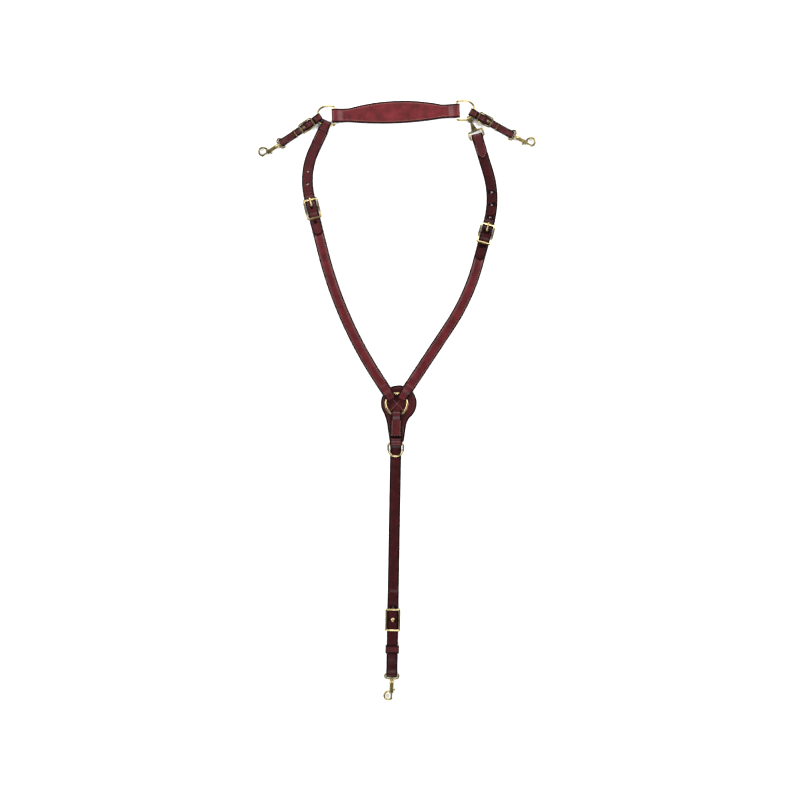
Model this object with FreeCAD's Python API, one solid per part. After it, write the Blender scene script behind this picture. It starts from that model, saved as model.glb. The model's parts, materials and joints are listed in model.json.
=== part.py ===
import FreeCAD, Part
import math
import os

# A western leather breastplate (breast collar) for a horse, lying flat with its front face up.
# Units are millimetres. +Z is up from the surface, +Y runs from the girth snap to the wither
# strap, and +X is to the right. The origin is on the surface, in the middle of the outline.
# The straps are cut leather, each end turned round its ring, dee or buckle bar. Plies of one
# piece lie a hair apart where they are stitched.

# Leather
STRAP_WIDTH = 22.5
STRAP_THICK = 3.0
LINING_THICK = 2.4
CHAPE_THICK = 2.0
SIDE_WIDTH = 15.5
SIDE_THICK = 2.4
PLY_GAP = 0.2
HOLE_DIAMETER = 4.5
HOLE_PITCH = 25.0
BEND_RADIUS = 9.0
BACK_BEND = 16.0
TIGHT_BEND = 4.0
CHAPE_BEND = 5.0

# Rings and dees, bent from round wire
WIRE = 4.6
RING_OUTER = 47.0
DEE_INNER_WIDTH = 34.4
DEE_SIDE = 15.6
DEE_CORNER = 4.0
MARTINGALE_WIRE = 4.0
MARTINGALE_WIDTH = 27.0
MARTINGALE_SIDE = 10.0
MARTINGALE_CORNER = 3.0
MARTINGALE_TILT = 9.0
RING_PLAY = 1.2
SKEW_PLAY = 2.4
BAR_PLAY = 0.3

# Where the hardware lies, as (x, y), and which way each strap runs, in degrees from +X
RING_AT = (-7.0, -10.0)
LEFT_DEE_AT = (-131.0, 566.0)
RIGHT_DEE_AT = (114.0, 576.0)
LEFT_BUCKLE_AT = (-175.2, 379.8)
RIGHT_BUCKLE_AT = (171.7, 330.6)
GIRTH_HEADING = 269.0
LEFT_SHOULDER_HEADING = -57.0
RIGHT_SHOULDER_HEADING = 236.5
LEFT_RING_ANGLE = 130.0
RIGHT_RING_ANGLE = 50.0
LEFT_BUCKLE_HEADING = 284.0
RIGHT_BUCKLE_HEADING = 255.0
LEFT_NECK_HEADING = 250.5
LEFT_NECK_DEE_ANGLE = 262.0
RIGHT_NECK_HEADING = 283.0
LEFT_SIDE_HEADING = 214.0
LEFT_SIDE_DEE_ANGLE = 196.0
RIGHT_SIDE_HEADING = -29.0
RIGHT_SIDE_DEE_ANGLE = -20.0
NECK_SNAP_HEADING = 293.7
NECK_SNAP_DEE_ANGLE = -62.0

# Leather safe behind the centre ring
SAFE_THICK = 3.0
SAFE_RADIUS = 36.0
SAFE_SHIFT = (4.6, 1.6)
SAFE_TAIL_WIDTH = 42.0
SAFE_TAIL_END = 78.0
SAFE_CORNER = 13.0
SAFE_GAP = 1.4

# Wither strap, face and lining
WITHER_END_WIDTH = 28.0
WITHER_TOP_RISE = 25.0
WITHER_BOTTOM_DROP = 20.0
WITHER_LEAD = 30.0
WITHER_TURN = 22.0
WITHER_LEVEL = 1.0

# Shoulder straps, measured from the buckle and from the ring wire
SHOULDER_LEAD = 62.0
SHOULDER_TURN = 31.0
SHOULDER_PLAY = 1.4
SHOULDER_LEVEL = 3.0
RING_LEAD = 44.0
RING_TURN = 10.0
RING_LEVEL = 3.0
TURN_WIDTH = 15.0
TURN_BACK = 1.0
LINING_STOP = 25.0
BAND_WIDTH = 11.0
BAND_HEIGHT = 1.6

# Neck straps, measured from the dee wire, the snap's eye and the buckle
NECK_LEAD = 62.0
NECK_LAP = 36.0
NECK_PLAY = 4.5
NECK_LEVEL = 3.0
NECK_TURN_WIDTH = 16.0
RIGHT_TURN = 44.0
RIGHT_LEVEL = 4.0
POINT_LENGTH = 11.0
POINT_WIDTH = 4.0
NECK_EYE_PLAY = 2.4
BILLET_LEAD = 36.0
BILLET_TIP = 54.0
BILLET_BEND = 7.0
NEXT_HOLE = 27.0
LEFT_HOLES_FROM = 51.0
LEFT_HOLES = 2
RIGHT_HOLES_FROM = 34.0
RIGHT_HOLES = 3

# Double-bar buckles, arched so that the middle bar sits low
BUCKLE_LENGTH = 43.0
BUCKLE_RAIL = 3.75
BUCKLE_BAR = 3.5
BUCKLE_WIRE = 4.0
BUCKLE_SIDE_GAP = 0.5
BUCKLE_CORNER = 5.0
WINDOW_CORNER = 2.0
SIDE_BUCKLE_LENGTH = 32.0
SIDE_BUCKLE_RAIL = 3.0
SIDE_BUCKLE_BAR = 2.8
SIDE_BUCKLE_WIRE = 3.2
BAR_FIT = 0.2
END_TRIM = 0.3
SLOT_BEFORE = 12.0
SLOT_AFTER = 10.0
SLOT_WIDTH = 5.6
HUMP_BEND = 8.0
HUMP_BEFORE = 7.2
HUMP_AFTER = 4.5
UNDER_BAR = 2.0
TONGUE = 3.0
SIDE_TONGUE = 2.4
TONGUE_LEAN = 58.0
TONGUE_EYE_EXTRA = 0.6
TONGUE_EYE_SHARE = 0.62
TONGUE_ROOT_SHARE = 0.35
TONGUE_BEND_SHARE = 1.4
TONGUE_REST = 0.3
TONGUE_PAST = 0.5
TONGUE_HOLE_AT = -5.6
TONGUE_HOLE_LENGTH = 11.5

# Side straps, measured outwards from the dee wire
SIDE_BUCKLE_OFF = 25.0
SIDE_FOLD_INSIDE = 9.8
SIDE_TURN_WIDTH = 13.0
SIDE_TURN_BACK = -1.5
SIDE_LEVEL = 1.0
SIDE_BEFORE_BAR = 2.0
SIDE_AFTER_BAR = 6.5
SIDE_PLAY = 0.8
SIDE_SLOT = 4.6
SIDE_SLOT_HALF = 9.0
SIDE_HOLE = 3.8
SIDE_HOLE_AT = 4.6
SIDE_HOLE_LENGTH = 9.5
SIDE_KEEPER_OFF = 53.0
SIDE_EYE_LAP = 24.0
SIDE_EYE_OFF = 84.0
SIDE_TIP_OFF = 9.0
KEEPER_WIRE = 2.0
KEEPER_SIDE_PLAY = 0.6
KEEPER_UNDER = 0.3
KEEPER_OVER = 0.4
KEEPER_CORNER = 1.6

# Girth strap, measured from the ring wire
DEE_BAR_OFF = 58.0
CHAPE_START = 16.0
CHAPE_LEVEL = 1.0
CHAPE_TAIL = 4.0
CHAPE_SIDE_FIT = 1.0
TURN_BACK_END = 44.0
SAFE_CLEAR = 2.0
PAIR_BEFORE = 40.0
PAIR_BEND = 45.0
GIRTH_BUCKLE_OFF = 410.0
GIRTH_BUCKLE_LENGTH = 45.0
GIRTH_BUCKLE_RAIL = 3.2
GIRTH_BUCKLE_WIRE = 4.0
STUD_HOLE = 4.6
STUD_LAP = 8.0
STUD_PLATE = 10.0
STUD_PLATE_THICK = 2.4
CAP_RADIUS = 6.0
CAP_SINK = 3.6
BAR_SINK = 0.5
GIRTH_KEEPER_OFF = 469.0
GIRTH_KEEPER_WIDTH = 16.0
KEEPER_THICK = 2.0
KEEPER_PLAY = 0.6
KEEPER_RISE = 0.5
KEEPER_OUTER_CORNER = 3.0
KEEPER_INNER_CORNER = 1.2
KEEPER_REST = 4.0
GIRTH_EYE_OFF = 519.0

# Swivel bolt snaps, measured from the bar of the eye
EYE_WIRE = 3.6
EYE_DEPTH = 8.4
EYE_NEAR_CORNER = 2.4
EYE_FAR_CORNER = 5.0
EYE_SIDE_GAP = 0.9
EYE_PLAY = 0.6
BOSS_SWELL = 1.6
BOSS_END = 2.6
BARREL_START = 12.6
BARREL_END = 37.0
BARREL_DIAMETER = 8.4
BARREL_TAPER = 4.0
BARREL_NECK = 3.4
BORE = 4.3
BORE_OFF = 4.6
BOLT_DIAMETER = 3.8
BOLT_START = 25.4
BOLT_TRAVEL = 6.5
BOLT_SHORT = 0.2
KNOB_AT = 30.5
KNOB_STEM = 2.4
KNOB_STEM_LENGTH = 6.0
KNOB_DIAMETER = 4.6
KNOB_HEIGHT = 2.6
KNOB_LIFT = 0.8
KNOB_ROUND = 0.8
KNOB_SLOT = 3.0
HOOK_WIRE = 4.2
HOOK_RADIUS = 8.3
HOOK_OFFSET = 6.2
HOOK_AHEAD = 5.5
HOOK_ROOT = 2.8
SEAT_DIAMETER = 5.4
SEAT_LENGTH = 2.8
SEAT_BACK = 1.5
STUD_DIAMETER = 3.2
STUD_REACH = 4.0
STUD_START = 1.0
STUD_HEAD = 5.0
STUD_HEAD_THICK = 1.4
STUD_HEAD_AT = 2.4
SWIVEL_GAP = 0.3
SPRING_TURNS = 5
SPRING_STEPS = 8
SPRING_WIRE = 0.7
SPRING_GAP = 0.1

# Neck snap, measured from the dee wire
SNAP_BAND = 9.0
SNAP_BAND_THICK = 2.4
SNAP_HOOK_GAP = 1.6
SNAP_HOOK_RUN = 7.5
SNAP_HOOK_LIP = 3.0
SNAP_EYE_OFF = 40.0
SNAP_EYE_LENGTH = 18.0
SNAP_EYE_WIRE = 4.0
SNAP_EYE_SIDE_GAP = 1.6
SNAP_NEAR_CORNER = 3.5
SNAP_FAR_CORNER = 2.2
SHANK_ROOT = (7.0, 5.0)
SHANK_WAIST = (12.0, 5.6)
SHANK_SWELL = (18.0, 9.0)
SHANK_SWELL_TOP = 3.0
SHANK_END_WIDTH = 14.0
SHANK_END_HALF = 2.2
LEAF_THICK = 0.8
LEAF_WIDTH = 4.4
LEAF_START = 2.0
LEAF_END = 17.0
LEAF_GAP = 0.6
RIVET_AT = 14.5
RIVET_PIN = 1.6
RIVET_HEAD = 3.2
RIVET_HEAD_THICK = 0.8
RIVET_HOLE = 2.2

# Taller and wider than any piece, for cutters, and shorter than any real edge
CUT = 30.0
TINY = 0.01

V = FreeCAD.Vector
UP = V(0, 0, 1)
ALONG = V(1, 0, 0)


def ahead(degrees):
    """Unit vector that points along a heading."""
    return V(math.cos(math.radians(degrees)), math.sin(math.radians(degrees)), 0)


# Levels of the ring, dees and loops
WIRE_Z = STRAP_THICK + WIRE / 2 + RING_PLAY
RING_Z = SAFE_THICK + SAFE_GAP + WIRE_Z
RING_RADIUS = (RING_OUTER - WIRE) / 2
LOOP_INNER = WIRE / 2 + RING_PLAY
BAR_INNER = WIRE / 2 + BAR_PLAY
DEE_RADIUS = (DEE_INNER_WIDTH + WIRE) / 2
WITHER_SPAN = V(RIGHT_DEE_AT[0] - LEFT_DEE_AT[0], RIGHT_DEE_AT[1] - LEFT_DEE_AT[1], 0)
WITHER_HEADING = math.degrees(math.atan2(WITHER_SPAN.y, WITHER_SPAN.x))
WITHER_LENGTH = WITHER_SPAN.Length
RING_CENTRE = V(RING_AT[0], RING_AT[1], 0)
LEFT_ARC = V(LEFT_DEE_AT[0], LEFT_DEE_AT[1], 0) - ahead(WITHER_HEADING) * DEE_SIDE
RIGHT_ARC = V(RIGHT_DEE_AT[0], RIGHT_DEE_AT[1], 0) + ahead(WITHER_HEADING) * DEE_SIDE
GIRTH_START = RING_CENTRE + ahead(GIRTH_HEADING) * RING_RADIUS
LEFT_SHOULDER_END = RING_CENTRE + ahead(LEFT_RING_ANGLE) * RING_RADIUS
RIGHT_SHOULDER_END = RING_CENTRE + ahead(RIGHT_RING_ANGLE) * RING_RADIUS
LEFT_NECK_START = LEFT_ARC + ahead(LEFT_NECK_DEE_ANGLE) * DEE_RADIUS
LEFT_SIDE_START = LEFT_ARC + ahead(LEFT_SIDE_DEE_ANGLE) * DEE_RADIUS
RIGHT_SIDE_START = RIGHT_ARC + ahead(RIGHT_SIDE_DEE_ANGLE) * DEE_RADIUS
NECK_SNAP_START = RIGHT_ARC + ahead(NECK_SNAP_DEE_ANGLE) * DEE_RADIUS
NECK_EYE_AT = NECK_SNAP_START + ahead(NECK_SNAP_HEADING) * SNAP_EYE_OFF

# Levels of the buckles: chape under the bar, bar, billet over it, end bars over the billet
CHAPE_INNER = BUCKLE_BAR / 2 + BAR_FIT
BAR_Z = LINING_THICK + CHAPE_INNER
SHOULDER_TOP = LINING_THICK + PLY_GAP + STRAP_THICK
BILLET_LOW = SHOULDER_TOP + PLY_GAP
BILLET_HIGH = BAR_Z + CHAPE_INNER + LINING_THICK + PLY_GAP
END_BAR_Z = BILLET_LOW + STRAP_THICK + BAR_FIT + BUCKLE_WIRE / 2
SIDE_CHAPE_INNER = SIDE_BUCKLE_BAR / 2 + BAR_FIT
SIDE_BAR_Z = SIDE_THICK + SIDE_CHAPE_INNER
SIDE_BILLET_LOW = 2 * SIDE_THICK + 2 * PLY_GAP
SIDE_BILLET_HIGH = SIDE_BAR_Z + SIDE_CHAPE_INNER + SIDE_THICK + PLY_GAP
SIDE_END_BAR_Z = SIDE_BILLET_LOW + SIDE_THICK + BAR_FIT + SIDE_BUCKLE_WIRE / 2

# Levels of the girth strap and the snaps' eyes
CHAPE_LOW = SAFE_THICK + STRAP_THICK + PLY_GAP
CHAPE_DEE_INNER = MARTINGALE_WIRE / 2 + BAR_PLAY
CHAPE_STACK = 2 * CHAPE_THICK + 3 * PLY_GAP
DEE_BAR_Z = CHAPE_LOW + CHAPE_THICK + CHAPE_DEE_INNER
PAIR_LIFT = STRAP_THICK + PLY_GAP
PAIR_HIGH = STUD_PLATE_THICK + 2 * STRAP_THICK + 3 * PLY_GAP
CONWAY_BAR_Z = PAIR_HIGH + GIRTH_BUCKLE_WIRE / 2
EYE_INNER = EYE_WIRE / 2 + BAR_PLAY
SIDE_EYE_Z = SIDE_THICK + EYE_INNER
GIRTH_EYE_Z = STRAP_THICK + EYE_INNER
NECK_EYE_INNER = SNAP_EYE_WIRE / 2 + BAR_PLAY
NECK_EYE_Z = STRAP_THICK + NECK_EYE_INNER
NECK_DROP = NECK_EYE_Z - WIRE_Z
SNAP_HOOK_INNER = WIRE / 2 + SNAP_HOOK_GAP
LEAF_Z = -WIRE / 2 - LEAF_GAP

# Where the bolt runs
HOOK_CENTRE = BARREL_END + HOOK_AHEAD
TIP_FACE = HOOK_CENTRE + math.sqrt(HOOK_RADIUS ** 2 - HOOK_OFFSET ** 2) - SEAT_BACK
BORE_START = BARREL_START + BORE_OFF


def turned(point, centre, degrees):
    """A point carried round a centre in the XY plane."""
    return centre + FreeCAD.Rotation(UP, degrees).multVec(point - centre)


def walk(start, heading, moves):
    """Follow straight runs (a length) and turns (a radius and degrees, left is plus)."""
    spot = V(start[0], start[1], 0)
    for move in moves:
        if isinstance(move, tuple):
            radius, degrees = move
            centre = spot + ahead(heading + 90) * math.copysign(radius, degrees)
            yield spot, heading, centre, degrees
            spot = turned(spot, centre, degrees)
            heading += degrees
        else:
            yield spot, heading, None, move
            spot = spot + ahead(heading) * move


def band_face(start, heading, moves, right, left):
    """Face between two lines that run beside a path, each a shift to its left."""
    lines = [[], []]
    for spot, angle, centre, amount in walk(start, heading, moves):
        for line, shift in zip(lines, (right, left)):
            first = spot + ahead(angle + 90) * shift
            if centre is None:
                line.append([first, first + ahead(angle) * amount])
            else:
                line.append([first, turned(first, centre, amount / 2), turned(first, centre, amount)])
    back = [piece[::-1] for piece in lines[1][::-1]]
    loop = lines[0] + [[lines[0][-1][-1], back[0][0]]] + back + [[back[-1][-1], lines[0][0][0]]]
    edges = []
    for piece in loop:
        if len(piece) == 3:
            edges.append(Part.Arc(*piece).toShape())
        else:
            edges.append(Part.makeLine(*piece))
    return Part.Face(Part.Wire(edges))


def strip(start, heading, moves, right, left, width):
    """Leather seen from its edge: a path in X and Z with a thickness, as wide as the strap."""
    solid = band_face(start, heading, moves, right, left).extrude(UP * width)
    solid.translate(UP * (-width / 2))
    solid.rotate(V(0, 0, 0), ALONG, 90)
    return solid


def ribbon(start, heading, moves, width, low, high):
    """Leather seen from above: a path in X and Y with a width, between two heights."""
    solid = band_face(start, heading, moves, -width / 2, width / 2).extrude(UP * (high - low))
    solid.translate(UP * low)
    return solid


def rod(start, heading, moves, diameter):
    """Round wire along a path in X and Y."""
    pieces = []
    for spot, angle, centre, amount in walk(start, heading, moves):
        disc = Part.Face(Part.Wire(Part.makeCircle(diameter / 2, spot, ahead(angle))))
        if centre is None:
            pieces.append(disc.extrude(ahead(angle) * amount))
        else:
            pieces.append(disc.revolve(centre, UP, amount))
    return fuse(pieces)


def fuse(pieces):
    """One solid from pieces that meet."""
    if len(pieces) == 1:
        return pieces[0]
    return pieces[0].multiFuse(pieces[1:]).removeSplitter()


def stand(shape):
    """Stand a shape drawn in X and Y up into X and Z."""
    shape.rotate(V(0, 0, 0), ALONG, 90)
    return shape


def place(shape, spot, heading, height=0.0):
    """Turn a shape made along +X to a heading, and set its origin at a spot."""
    copy = shape.copy()
    copy.rotate(V(0, 0, 0), UP, heading)
    copy.translate(V(spot[0], spot[1], height))
    return copy


def block(x0, x1, y0, y1, z0, z1):
    """Box between two corners."""
    return Part.makeBox(x1 - x0, y1 - y0, z1 - z0, V(x0, y0, z0))


def strap_block(x0, x1, width, z0, z1):
    """Level piece of strap along X."""
    return block(x0, x1, -width / 2, width / 2, z0, z1)


def pin(x0, x1, diameter):
    """Round bar on the X axis."""
    return Part.makeCylinder(diameter / 2, x1 - x0, V(x0, 0, 0), ALONG)


def upright(spot, diameter):
    """Cutter for a round hole through everything at a spot."""
    return Part.makeCylinder(diameter / 2, 2 * CUT, V(spot[0], spot[1], -CUT))


def cross_bar(x, z, length, diameter):
    """Round bar across X."""
    return Part.makeCylinder(diameter / 2, length, V(x, -length / 2, z), V(0, 1, 0))


def rounded_block(x0, x1, width, radius):
    """Tall block along X with its upright edges rounded."""
    box = block(x0, x1, -width / 2, width / 2, -CUT, CUT)
    return box.makeFillet(radius, [edge for edge in box.Edges if edge.BoundBox.ZLength > CUT])


def climb(height, radius=BEND_RADIUS):
    """Two equal bends that lift a level path by a height and leave it level."""
    degrees = math.degrees(math.acos(1 - abs(height) / (2 * radius)))
    sense = math.copysign(1, height)
    return [(radius, sense * degrees), (radius, -sense * degrees)]


def climb_run(height, radius=BEND_RADIUS):
    """How far a climb runs along."""
    return 2 * radius * math.sin(math.acos(1 - abs(height) / (2 * radius)))


def corner_run(first, heading, first_lead, last, last_heading, last_lead):
    """The one widest bend between two straight leads: its runs and turn, without the leads."""
    gap = V(last[0] - first[0], last[1] - first[1], 0)
    turn = (last_heading - heading + 180) % 360 - 180
    crossing = ahead(heading).cross(ahead(last_heading)).z
    to_corner = gap.cross(ahead(last_heading)).z / crossing
    from_corner = ahead(heading).cross(gap).z / crossing
    tangent = min(to_corner - first_lead, from_corner - last_lead)
    radius = tangent / math.tan(math.radians(abs(turn) / 2))
    runs = [to_corner - first_lead - tangent, (radius, turn), from_corner - last_lead - tangent]
    return [move for move in runs if isinstance(move, tuple) or move > TINY]


def back_along(last, heading, moves, off):
    """Point at a distance back from the end of a path."""
    reverse = [(move[0], -move[1]) if isinstance(move, tuple) else move for move in moves[::-1]]
    for spot, angle, centre, amount in walk(last, heading + 180, reverse):
        reach = amount
        if centre is not None:
            reach = math.radians(abs(amount)) * (spot - centre).Length
        if off > reach:
            off -= reach
        elif centre is None:
            return spot + ahead(angle) * off
        else:
            return turned(spot, centre, amount * off / reach)
    raise ValueError("the path is shorter than the distance")


def narrowed(strap, width, turn_width, back=TURN_BACK):
    """Trim the sides of a strap where it turns inside a curved ring, at X below back."""
    for side in (1, -1):
        low, high = sorted((side * turn_width / 2, side * width))
        strap = strap.cut(block(-CUT, back, low, high, -CUT, CUT))
    return strap


def oval_hole(x, length, width):
    """Cutter for an oval tongue hole."""
    half = (length - width) / 2
    cutter = upright((x - half, 0), width).fuse(upright((x + half, 0), width))
    return cutter.fuse(block(x - half, x + half, -width / 2, width / 2, -CUT, CUT))


def rounded_tip(tip, width):
    """Cutter that leaves a round end on a strap whose tip is at X."""
    centre = tip - width / 2
    return block(centre, tip + width, -width, width, -CUT, CUT).cut(upright((centre, 0), width))


def dee(width, side, wire, corner):
    """Dee bent from round wire along +X, with its straight bar at the origin."""
    radius = (width + wire) / 2
    half_bar = radius - corner
    moves = [half_bar, (corner, -90), side - corner, (radius, -180), side - corner]
    return rod((0, 0), 90, moves + [(corner, -90), half_bar], wire)


def buckle(inside, length, rail, bar, wire, bar_z, end_z):
    """Arched frame of a double-bar buckle with its middle bar, made along +X."""
    half = length / 2
    reach = half - wire / 2
    rise = end_z - (bar_z + bar / 2)
    radius = (reach ** 2 + rise ** 2) / (2 * rise)
    sweep = 2 * math.degrees(math.asin(half / radius))
    top = end_z + radius - rise - radius * math.cos(math.radians(sweep / 2))
    outer = inside + 2 * rail
    frame = strip((-half, top), -sweep / 2, [(radius, sweep)], -wire / 2, wire / 2, outer)
    frame = frame.common(rounded_block(END_TRIM - half, half - END_TRIM, outer, BUCKLE_CORNER))
    frame = frame.cut(rounded_block(wire - half, half - wire, inside, WINDOW_CORNER))
    frame = frame.cut(block(-half, half, -outer, outer, end_z + wire / 2, CUT))
    for first, last in ((-length, wire - half + UNDER_BAR / 2), (half - wire - UNDER_BAR / 2, length)):
        frame = frame.cut(block(first, last, -inside / 2, inside / 2, -CUT, end_z - wire / 2))
    return fuse([frame, cross_bar(0, bar_z, inside + rail, bar)])


def tongue(bar, wire, bar_z, rest_z, length):
    """Buckle tongue: an eye round the bar, then a wire up through the hole to the end bar."""
    wide = wire + TONGUE_EYE_EXTRA
    bore = bar + BAR_FIT
    eye = cross_bar(0, bar_z, wide, bore + 2 * TONGUE_EYE_SHARE * wire)
    slope = math.radians(TONGUE_LEAN)
    off = bar / 2 + wire * TONGUE_ROOT_SHARE
    start = (-off * math.cos(slope), bar_z + off * math.sin(slope))
    bend = wire * TONGUE_BEND_SHARE
    run = (rest_z - start[1] - bend * (1 - math.cos(slope))) / math.sin(slope)
    used = run * math.cos(slope) + bend * math.sin(slope)
    moves = [run, (bend, TONGUE_LEAN), length - used + start[0]]
    arm = stand(rod(start, 180 - TONGUE_LEAN, moves, wire))
    return fuse([eye, arm]).cut(cross_bar(0, bar_z, 2 * wide, bore))


def neck_buckle_end():
    """The billet end of a neck strap, made along +X with the buckle's middle bar at 0."""
    hump = BILLET_HIGH - BILLET_LOW
    side = climb_run(hump, HUMP_BEND)
    flat = BUCKLE_WIRE + UNDER_BAR
    before = BILLET_LEAD - HUMP_BEFORE - side
    moves = [before - climb_run(BILLET_LOW, BILLET_BEND) - flat]
    moves += climb(BILLET_LOW, BILLET_BEND) + [flat] + climb(hump, HUMP_BEND)
    moves += [HUMP_BEFORE + HUMP_AFTER] + climb(-hump, HUMP_BEND) + [BILLET_TIP - HUMP_AFTER - side]
    end = strip((-BILLET_LEAD, 0), 0, moves, 0, STRAP_THICK, STRAP_WIDTH)
    end = end.cut(rounded_tip(BILLET_TIP, STRAP_WIDTH))
    end = end.cut(oval_hole(TONGUE_HOLE_AT, TONGUE_HOLE_LENGTH, HOLE_DIAMETER))
    return end.cut(upright((NEXT_HOLE, 0), HOLE_DIAMETER))


# ---- Centre: safe, ring, martingale dee, girth strap with its Conway buckle ----
def at_girth(off):
    """Point on the girth strap's line."""
    return GIRTH_START + ahead(GIRTH_HEADING) * off


def make_centre_safe():
    """Keyhole of leather that keeps the ring and dee off the chest."""
    disc = upright((RING_AT[0] + SAFE_SHIFT[0], RING_AT[1] + SAFE_SHIFT[1]), 2 * SAFE_RADIUS)
    disc = disc.common(block(-CUT * CUT, CUT * CUT, -CUT * CUT, CUT * CUT, 0, SAFE_THICK))
    half = SAFE_TAIL_WIDTH / 2
    low = RING_AT[1] - SAFE_TAIL_END
    tail = block(RING_AT[0] - half, RING_AT[0] + half, low, RING_AT[1], 0, SAFE_THICK)
    foot = [e for e in tail.Edges if e.BoundBox.ZLength > TINY and e.BoundBox.YMax < low + TINY]
    keyhole = disc.fuse(tail.makeFillet(SAFE_CORNER, foot)).removeSplitter()
    waist = [e for e in keyhole.Edges if e.BoundBox.XLength < TINY and e.BoundBox.YLength < TINY
             and low + SAFE_CORNER + TINY < e.BoundBox.YMax < RING_AT[1]]
    return keyhole.makeFillet(SAFE_CORNER, waist)


def make_girth_strap():
    """One strap: turned back over the ring, and folded round the snap's eye up to the stud."""
    inner = LOOP_INNER + SAFE_GAP / 2
    drop = 2 * inner - CHAPE_STACK
    moves = [TURN_BACK_END - climb_run(drop)] + climb(-drop) + [RING_PLAY, (inner, 180)]
    along = SAFE_TAIL_END - RING_RADIUS + SAFE_CLEAR
    moves += [along + RING_PLAY] + climb(-SAFE_THICK)
    along += climb_run(SAFE_THICK)
    split = GIRTH_BUCKLE_OFF - GIRTH_BUCKLE_LENGTH / 2 - PAIR_BEFORE
    moves += [split - along] + climb(PAIR_LIFT)
    along = split + climb_run(PAIR_LIFT)
    over = STUD_PLATE_THICK + PLY_GAP
    slope = climb_run(over, PAIR_BEND)
    half_flat = GIRTH_BUCKLE_LENGTH / 2 - GIRTH_BUCKLE_WIRE
    moves += [GIRTH_BUCKLE_OFF - half_flat - slope - along] + climb(over, PAIR_BEND)
    fall_at = GIRTH_KEEPER_OFF + GIRTH_KEEPER_WIDTH / 2 + KEEPER_REST
    moves += [half_flat + fall_at - GIRTH_BUCKLE_OFF] + climb(-over, PAIR_BEND)
    along = fall_at + slope
    rise = 2 * EYE_INNER - PLY_GAP
    moves += [GIRTH_EYE_OFF - climb_run(rise) - along] + climb(rise)
    moves += [EYE_PLAY, (EYE_INNER + STRAP_THICK, -180), EYE_PLAY + GIRTH_EYE_OFF - along]
    moves += climb(-over, PAIR_BEND) + [fall_at - GIRTH_BUCKLE_OFF + STUD_LAP]
    start = (TURN_BACK_END, SAFE_THICK + STRAP_THICK + CHAPE_STACK)
    strap = strip(start, 180, moves, -STRAP_THICK, 0, STRAP_WIDTH)
    strap = narrowed(strap, STRAP_WIDTH, TURN_WIDTH)
    strap = strap.cut(upright((GIRTH_BUCKLE_OFF, 0), STUD_HOLE))
    strap = strap.cut(upright((GIRTH_BUCKLE_OFF - HOLE_PITCH, 0), HOLE_DIAMETER))
    return place(strap, GIRTH_START, GIRTH_HEADING)


def make_dee_chape():
    """Short folded chape that holds the martingale dee under the end of the turn-back."""
    moves = [DEE_BAR_OFF - CHAPE_START, (CHAPE_DEE_INNER, 180), CHAPE_LEVEL]
    moves += climb(2 * CHAPE_DEE_INNER - PLY_GAP, CHAPE_BEND) + [CHAPE_TAIL]
    chape = strip((CHAPE_START, CHAPE_LOW + CHAPE_THICK), 0, moves, -CHAPE_THICK, 0,
                  MARTINGALE_WIDTH - 2 * CHAPE_SIDE_FIT)
    return place(chape, GIRTH_START, GIRTH_HEADING)


def make_martingale_dee():
    """Small dee in the chape, tipped down to the strap."""
    small = dee(MARTINGALE_WIDTH, MARTINGALE_SIDE, MARTINGALE_WIRE, MARTINGALE_CORNER)
    small.rotate(V(0, 0, 0), V(0, 1, 0), MARTINGALE_TILT)
    return place(small, at_girth(DEE_BAR_OFF), GIRTH_HEADING, DEE_BAR_Z)


def make_girth_buckle():
    """Conway buckle: two bars over the strap, a stud plate under it, joined by tall side rails."""
    half = GIRTH_BUCKLE_LENGTH / 2
    top = CONWAY_BAR_Z + GIRTH_BUCKLE_WIRE / 2
    inside = STRAP_WIDTH + 2 * BUCKLE_SIDE_GAP
    pieces = []
    for side in (-1, 1):
        low, high = sorted((side * inside / 2, side * (inside / 2 + GIRTH_BUCKLE_RAIL)))
        rail = block(-half, half, low, high, 0, top)
        across = [e for e in rail.Edges if e.BoundBox.YLength > TINY]
        pieces.append(rail.makeFillet(GIRTH_BUCKLE_WIRE / 2 - TINY, across))
        x = side * (half - GIRTH_BUCKLE_WIRE / 2)
        pieces.append(cross_bar(x, CONWAY_BAR_Z, inside + 2 * BAR_SINK, GIRTH_BUCKLE_WIRE))
    plate_half = STUD_PLATE / 2
    pieces.append(strap_block(-plate_half, plate_half, inside + 2 * BAR_SINK, 0, STUD_PLATE_THICK))
    pieces.append(Part.makeCylinder(STUD_HOLE / 2 - BAR_FIT, PAIR_HIGH, V(0, 0, STUD_PLATE_THICK / 2)))
    cap = Part.makeSphere(CAP_RADIUS, V(0, 0, PAIR_HIGH - CAP_SINK))
    pieces.append(cap.common(strap_block(-CUT, CUT, CUT, PAIR_HIGH, CUT)))
    return place(fuse(pieces), at_girth(GIRTH_BUCKLE_OFF), GIRTH_HEADING)


def keeper_block(half, width, low, high, radius):
    """Block along X with its four long edges rounded."""
    bar = strap_block(-half, half, width, low, high)
    return bar.makeFillet(radius, [e for e in bar.Edges if e.BoundBox.XLength > TINY])


def make_girth_keeper():
    """Leather loop that slides on both plies below the buckle."""
    half = GIRTH_KEEPER_WIDTH / 2
    inside = STRAP_WIDTH + 2 * KEEPER_PLAY
    high = STUD_PLATE_THICK + 2 * PAIR_LIFT + KEEPER_RISE
    outer = keeper_block(half, inside + 2 * KEEPER_THICK, 0, high + KEEPER_THICK, KEEPER_OUTER_CORNER)
    inner = keeper_block(2 * half, inside, KEEPER_THICK, high, KEEPER_INNER_CORNER)
    return place(outer.cut(inner), at_girth(GIRTH_KEEPER_OFF), GIRTH_HEADING)


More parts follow.
